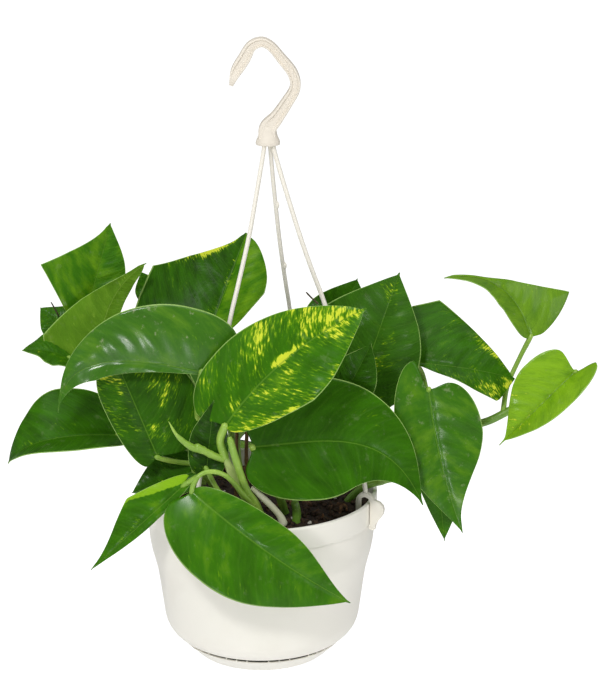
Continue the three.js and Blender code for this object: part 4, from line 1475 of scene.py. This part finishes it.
@dataclass
class Hook:
    """The bent hook with a groove along both faces, and its collar."""

    base: Pair = (5.3, 234.5)
    thickness: float = 8
    groove: float = 1.2
    line: tuple[Point, ...] = (
        (0, 2, 5.6), (-0.3, 10, 5.4), (5.5, 17.5, 4.3), (11.2, 25.9, 3.8), (17.4, 37.1, 3.5),
        (16.2, 45.5, 3.3), (8.6, 55.8, 3.2), (1.6, 63.8, 2.9), (-3.5, 66.1, 2.8), (-9.8, 63.8, 3.2),
        (-14.9, 55.4, 3.9), (-20.3, 46.7, 3.6), (-23.2, 38.4, 1.3),
    )
    collar: tuple[Pair, ...] = (
        (0, 0), (7.8, 0), (7.8, 1.8), (7.4, 3.2), (6.6, 4.8), (5.9, 6.8), (5.5, 9.4), (5.1, 12),
        (4.2, 12.5), (0, 12.5),
    )
    corner: tuple[Point, ...] = (
        (-1, -0.7, 0), (-0.98, -0.86, 0), (-0.91, -0.96, 0), (-0.8, -1, 0), (-0.64, -1, 0),
        (-0.58, -1, 0.2), (-0.5, -1, 1),
    )

    @cached_property
    def section(self) -> list[Point]:
        """The bar's section: shares of the half width, the half thickness and the groove's depth."""
        front = [*self.corner, (0, -1, 1), *[(-w, depth, sunk) for w, depth, sunk in reversed(self.corner)]]
        return [*front, (1, 0, 0), *[(-w, -depth, sunk) for w, depth, sunk in front], (-1, 0, 0)]

    def build(self) -> None:
        """Make the bar and the collar, and fix them to the frame."""
        x0, z0 = self.base
        middles = smooth_route([(x, 0, z) for x, z, _ in self.line], 1.6)
        widths = smooth_route([(i * 10, 0, w) for i, (_, _, w) in enumerate(self.line)], 0.2)
        last = len(middles) - 1
        count = len(self.section)

        def where(u: float, v: float) -> Vector:
            i = round(v * last)
            tangent = direction(middles, i)
            side = Vector((-tangent.z, 0, tangent.x))
            w, depth, sunk = self.section[round(u * count) % count]
            half = widths[round(v * (len(widths) - 1))].z
            open_part = min(1.0, max(0.0, (v - 0.08) / 0.06), max(0.0, (0.96 - v) / 0.05))
            end = 1 - 0.45 * max(0.0, (v - 0.94) / 0.06) ** 2
            y = depth * (self.thickness / 2 * end - self.groove * sunk * open_part)
            return middles[i] + side * (w * half) + Vector((x0, y, z0))

        bar = sculpted_grid("hook_moulded", count, last, where)
        close_tube(bar, 40)
        collar = lathe("collar", self.collar, 64)
        shape = Matrix.Translation(place((x0, 0, z0))) @ Matrix.Diagonal((1, 0.85, 1, 1))
        collar.data.transform(shape @ Matrix.Translation(-place((0, 0, 0))))
        rounded(collar, 0.6)
        whole = join([bar, collar], "hook_moulded")
        coat(whole, HOOK_PLASTIC)
        activate(whole)
        smooth_up_to(40)
        install(whole, "hanger_plastic", "hanger_hook")


@dataclass
class Strand:
    """A strand and its clip, lying in an upright plane through the collar's axis."""

    name: str
    azimuth: float
    route: tuple[Pair, ...]
    nibs: tuple[float, ...] = ()
    axis: float = 5.3
    width: float = 2.7
    depth: float = 2.3
    clip_centre: float = 74.5
    clip_depth: float = 3.2
    clip_outer: float = 6.6
    clip_inner: float = 3.4
    clip_rise: float = 0.6
    fin: tuple[Pair, ...] = (
        (10.2, 1.6), (12.6, -0.6), (13.2, -3.4), (12.6, -6.5), (10.9, -9.2), (8.8, -12), (7.5, -15),
        (7, -18), (4.6, -18.6), (2.6, -17.4), (2.6, -16.2),
    )

    def __post_init__(self) -> None:
        """Find the plane's direction and how far the clip stands from the collar's axis."""
        turn = math.radians(self.azimuth)
        reach = Vector((*round_the_pot(self.clip_centre, turn), 0)) - Vector((self.axis, 0, 0))
        self.reach = reach.length
        self.out = reach.normalized()
        self.across = Vector((-self.out.y, self.out.x, 0))

    def point(self, q: float, across: float, z: float) -> Vector:
        """Find a point by its distance from the collar's axis, its place across and its height."""
        return Vector((self.axis, 0, z)) + self.out * q + self.across * across

    def strip(self) -> Thing:
        """Make the strand itself, a strip with rounded edges."""
        ends = [*self.route, (self.reach, self.clip_rise + self.clip_outer - 1)]
        line = smooth_route([(q, 0, z) for q, z in ends], 3)
        last = len(line) - 1
        w, d = self.width / 2, self.depth / 2
        ring = [(-w, -d + 0.5), (-w + 0.5, -d), (w - 0.5, -d), (w, -d + 0.5),
                (w, d - 0.5), (w - 0.5, d), (-w + 0.5, d), (-w, d - 0.5)]

        def where(u: float, v: float) -> Vector:
            i = round(v * last)
            tangent = direction(line, i)
            a, b = ring[round(u * len(ring)) % len(ring)]
            return self.point(line[i].x - tangent.z * a, b, line[i].z + tangent.x * a)

        made = sculpted_grid("strip", len(ring), last, where)
        close_tube(made, 50)
        return made

    def clip_outline(self) -> list[Pair]:
        """Trace the clip: an arch over the rim, an inner leg, and an outer leg with a barb and a fin."""
        q, outer, inner, rise = self.reach, self.clip_outer, self.clip_inner, self.clip_rise
        arch = [(q + outer * math.cos(a), rise + outer * math.sin(a))
                for a in [math.pi - (math.pi - 0.35) * i / 12 for i in range(13)]]
        fin = [(q + away, z) for away, z in (*self.fin, (inner, -15.6))]
        under = [(q + inner * math.cos(a), rise + inner * math.sin(a))
                 for a in [math.pi * i / 10 for i in range(11)]]
        return [(q - outer, -8.5), *arch, *fin, *under, (q - inner, -8.5)]

    def clip(self) -> Thing:
        """Make the clip by extruding its outline."""
        points = [place(self.point(q, -self.clip_depth / 2, z)) for q, z in self.clip_outline()]
        clip = drawn("clip", points, faces=[range(len(points))])
        with editing(clip):
            shift = self.across * self.clip_depth * MM
            bpy.ops.mesh.extrude_region_move(TRANSFORM_OT_translate={"value": shift})
            turn_outwards()
        rounded(clip, 0.4)
        return clip

    def nib(self, height: float) -> Thing:
        """Make a small moulding nib on the strand's side at a height."""
        q = next(
            a[0] + (b[0] - a[0]) * (a[1] - height) / (a[1] - b[1])
            for a, b in zip(self.route, self.route[1:]) if b[1] <= height <= a[1]
        )
        deselect()
        bpy.ops.mesh.primitive_uv_sphere_add(
            segments=16, ring_count=8, radius=1.3 * MM, location=place(self.point(q, -1.2, height))
        )
        made = bpy.context.object
        made.scale = (1, 1, 1.9)
        bake_transform()
        bpy.ops.object.shade_smooth()
        return made

    def build(self) -> None:
        """Make the strand and its clip, and fix them to the frame."""
        whole = join([self.strip(), self.clip(), *[self.nib(z) for z in self.nibs]], self.name + "_moulded")
        coat(whole, HANGER_PLASTIC)
        install(whole, "hanger_plastic", self.name)


STRAND_TOP = ((3.7, 238.2), (3.7, 234.4))
STRANDS = (
    Strand("hanger_strand_left", 236, (
        *STRAND_TOP, (4.3, 231.6), (9.7, 212.4), (14.8, 195), (18.9, 181.2), (25, 164.7), (32.5, 146),
        (40, 127.4), (73.2, 25.5),
    )),
    Strand("hanger_strand_back", 68, (
        *STRAND_TOP, (4.3, 231.6), (9.9, 209), (15.5, 189), (21.5, 169), (28.8, 148.6), (36, 130.5),
        (42.6, 115), (66.5, 34),
    ), nibs=(191, 146)),
    Strand("hanger_strand_right", -22, (
        *STRAND_TOP, (4.2, 231.6), (8, 219), (14.7, 198.7), (23.8, 172.5), (30.8, 154.6), (39.1, 134.7),
        (52, 96), (63, 52),
    )),
)


# Studio


@dataclass
class Studio:
    """The camera that matches the photograph, the lights and the floor.

    Each light is given by its name, place, size and power. The floor's size is in metres.
    """

    camera_place: Point = (25.8, -1450, 565)
    pitch: float = 17.7
    focal_pixels: float = 2318
    frame_height: int = 683
    sensor: float = 36
    aim: Point = (10, 0, 60)
    floor_drop: float = 380
    floor_size: float = 60
    lights: tuple[tuple[str, Point, float, float], ...] = (
        ("key", (-350, -1150, 1050), 200, 9),
        ("low", (-250, -1500, -250), 160, 2.5),
        ("fill", (1200, -900, 500), 900, 4.5),
        ("side", (-1300, -500, 500), 900, 2.2),
        ("top", (0, -200, 1600), 1300, 10),
    )

    def build(self) -> None:
        """Add the camera, the lights, the world and the floor."""
        scene = bpy.context.scene
        deselect()
        bpy.ops.object.camera_add(
            location=place(self.camera_place), rotation=(math.radians(90 - self.pitch), 0, 0)
        )
        camera = bpy.context.object
        camera.data.sensor_width = self.sensor
        camera.data.lens = self.focal_pixels * self.sensor / self.frame_height
        camera.data.clip_end = self.floor_size
        scene.camera = camera
        for name, spot, size, power in self.lights:
            deselect()
            bpy.ops.object.light_add(type="AREA", location=place(spot))
            light = bpy.context.object
            light.name = name
            light.data.size = size * MM
            light.data.energy = power
            light.rotation_euler = (place(self.aim) - light.location).to_track_quat("-Z", "Y").to_euler()
        world = bpy.data.worlds.new("studio")
        world.use_nodes = True
        s = Sketch(world.node_tree)
        seen = s.node("LightPath").outputs["Is Camera Ray"]
        backdrop = world.node_tree.nodes["Background"]
        s.feed(s.math("MULTIPLY_ADD", seen, 0.8, 0.25), backdrop.inputs["Strength"])
        backdrop.inputs["Color"].default_value = (1, 1, 1, 1)
        scene.world = world
        scene.view_settings.view_transform = "Standard"
        scene.view_settings.look = "None"
        deselect()
        low = place((0, 0, FOOT_HEIGHT - self.floor_drop))
        bpy.ops.mesh.primitive_plane_add(size=self.floor_size, location=low)
        floor = bpy.context.object
        floor.name = "studio_floor"
        material, s, shader = new_material("studio floor")
        shader.inputs["Base Color"].default_value = (0.95, 0.95, 0.95, 1)
        shader.inputs["Roughness"].default_value = 1
        shader.inputs["Emission Color"].default_value = (1, 1, 1, 1)
        seen = s.node("LightPath").outputs["Is Camera Ray"]
        s.feed(s.math("MULTIPLY_ADD", seen, 0.6, 0.25), shader.inputs["Emission Strength"])
        floor.data.materials.append(material)


def main() -> None:
    """Load the frame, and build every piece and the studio."""
    logging.basicConfig(level=logging.INFO, format="%(message)s")
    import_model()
    for finish in (UPPER_LEAF, UNDER_LEAF, SHEATH, STUB, BRACT, GREEN_STEM, PALE_STALK, DRY_STEM,
                   POT_PLASTIC, HANGER_PLASTIC, HOOK_PLASTIC, GAP_SHADE_PLASTIC, SOIL, CRUMB, BARK, GRIT):
        finish.material()
    Pot().build()
    Saucer().build()
    Soil().build()
    Hook().build()
    for strand in STRANDS:
        strand.build()
    for vine in VINES:
        vine.build()
    Studio().build()


if __name__ == "__main__":
    main()
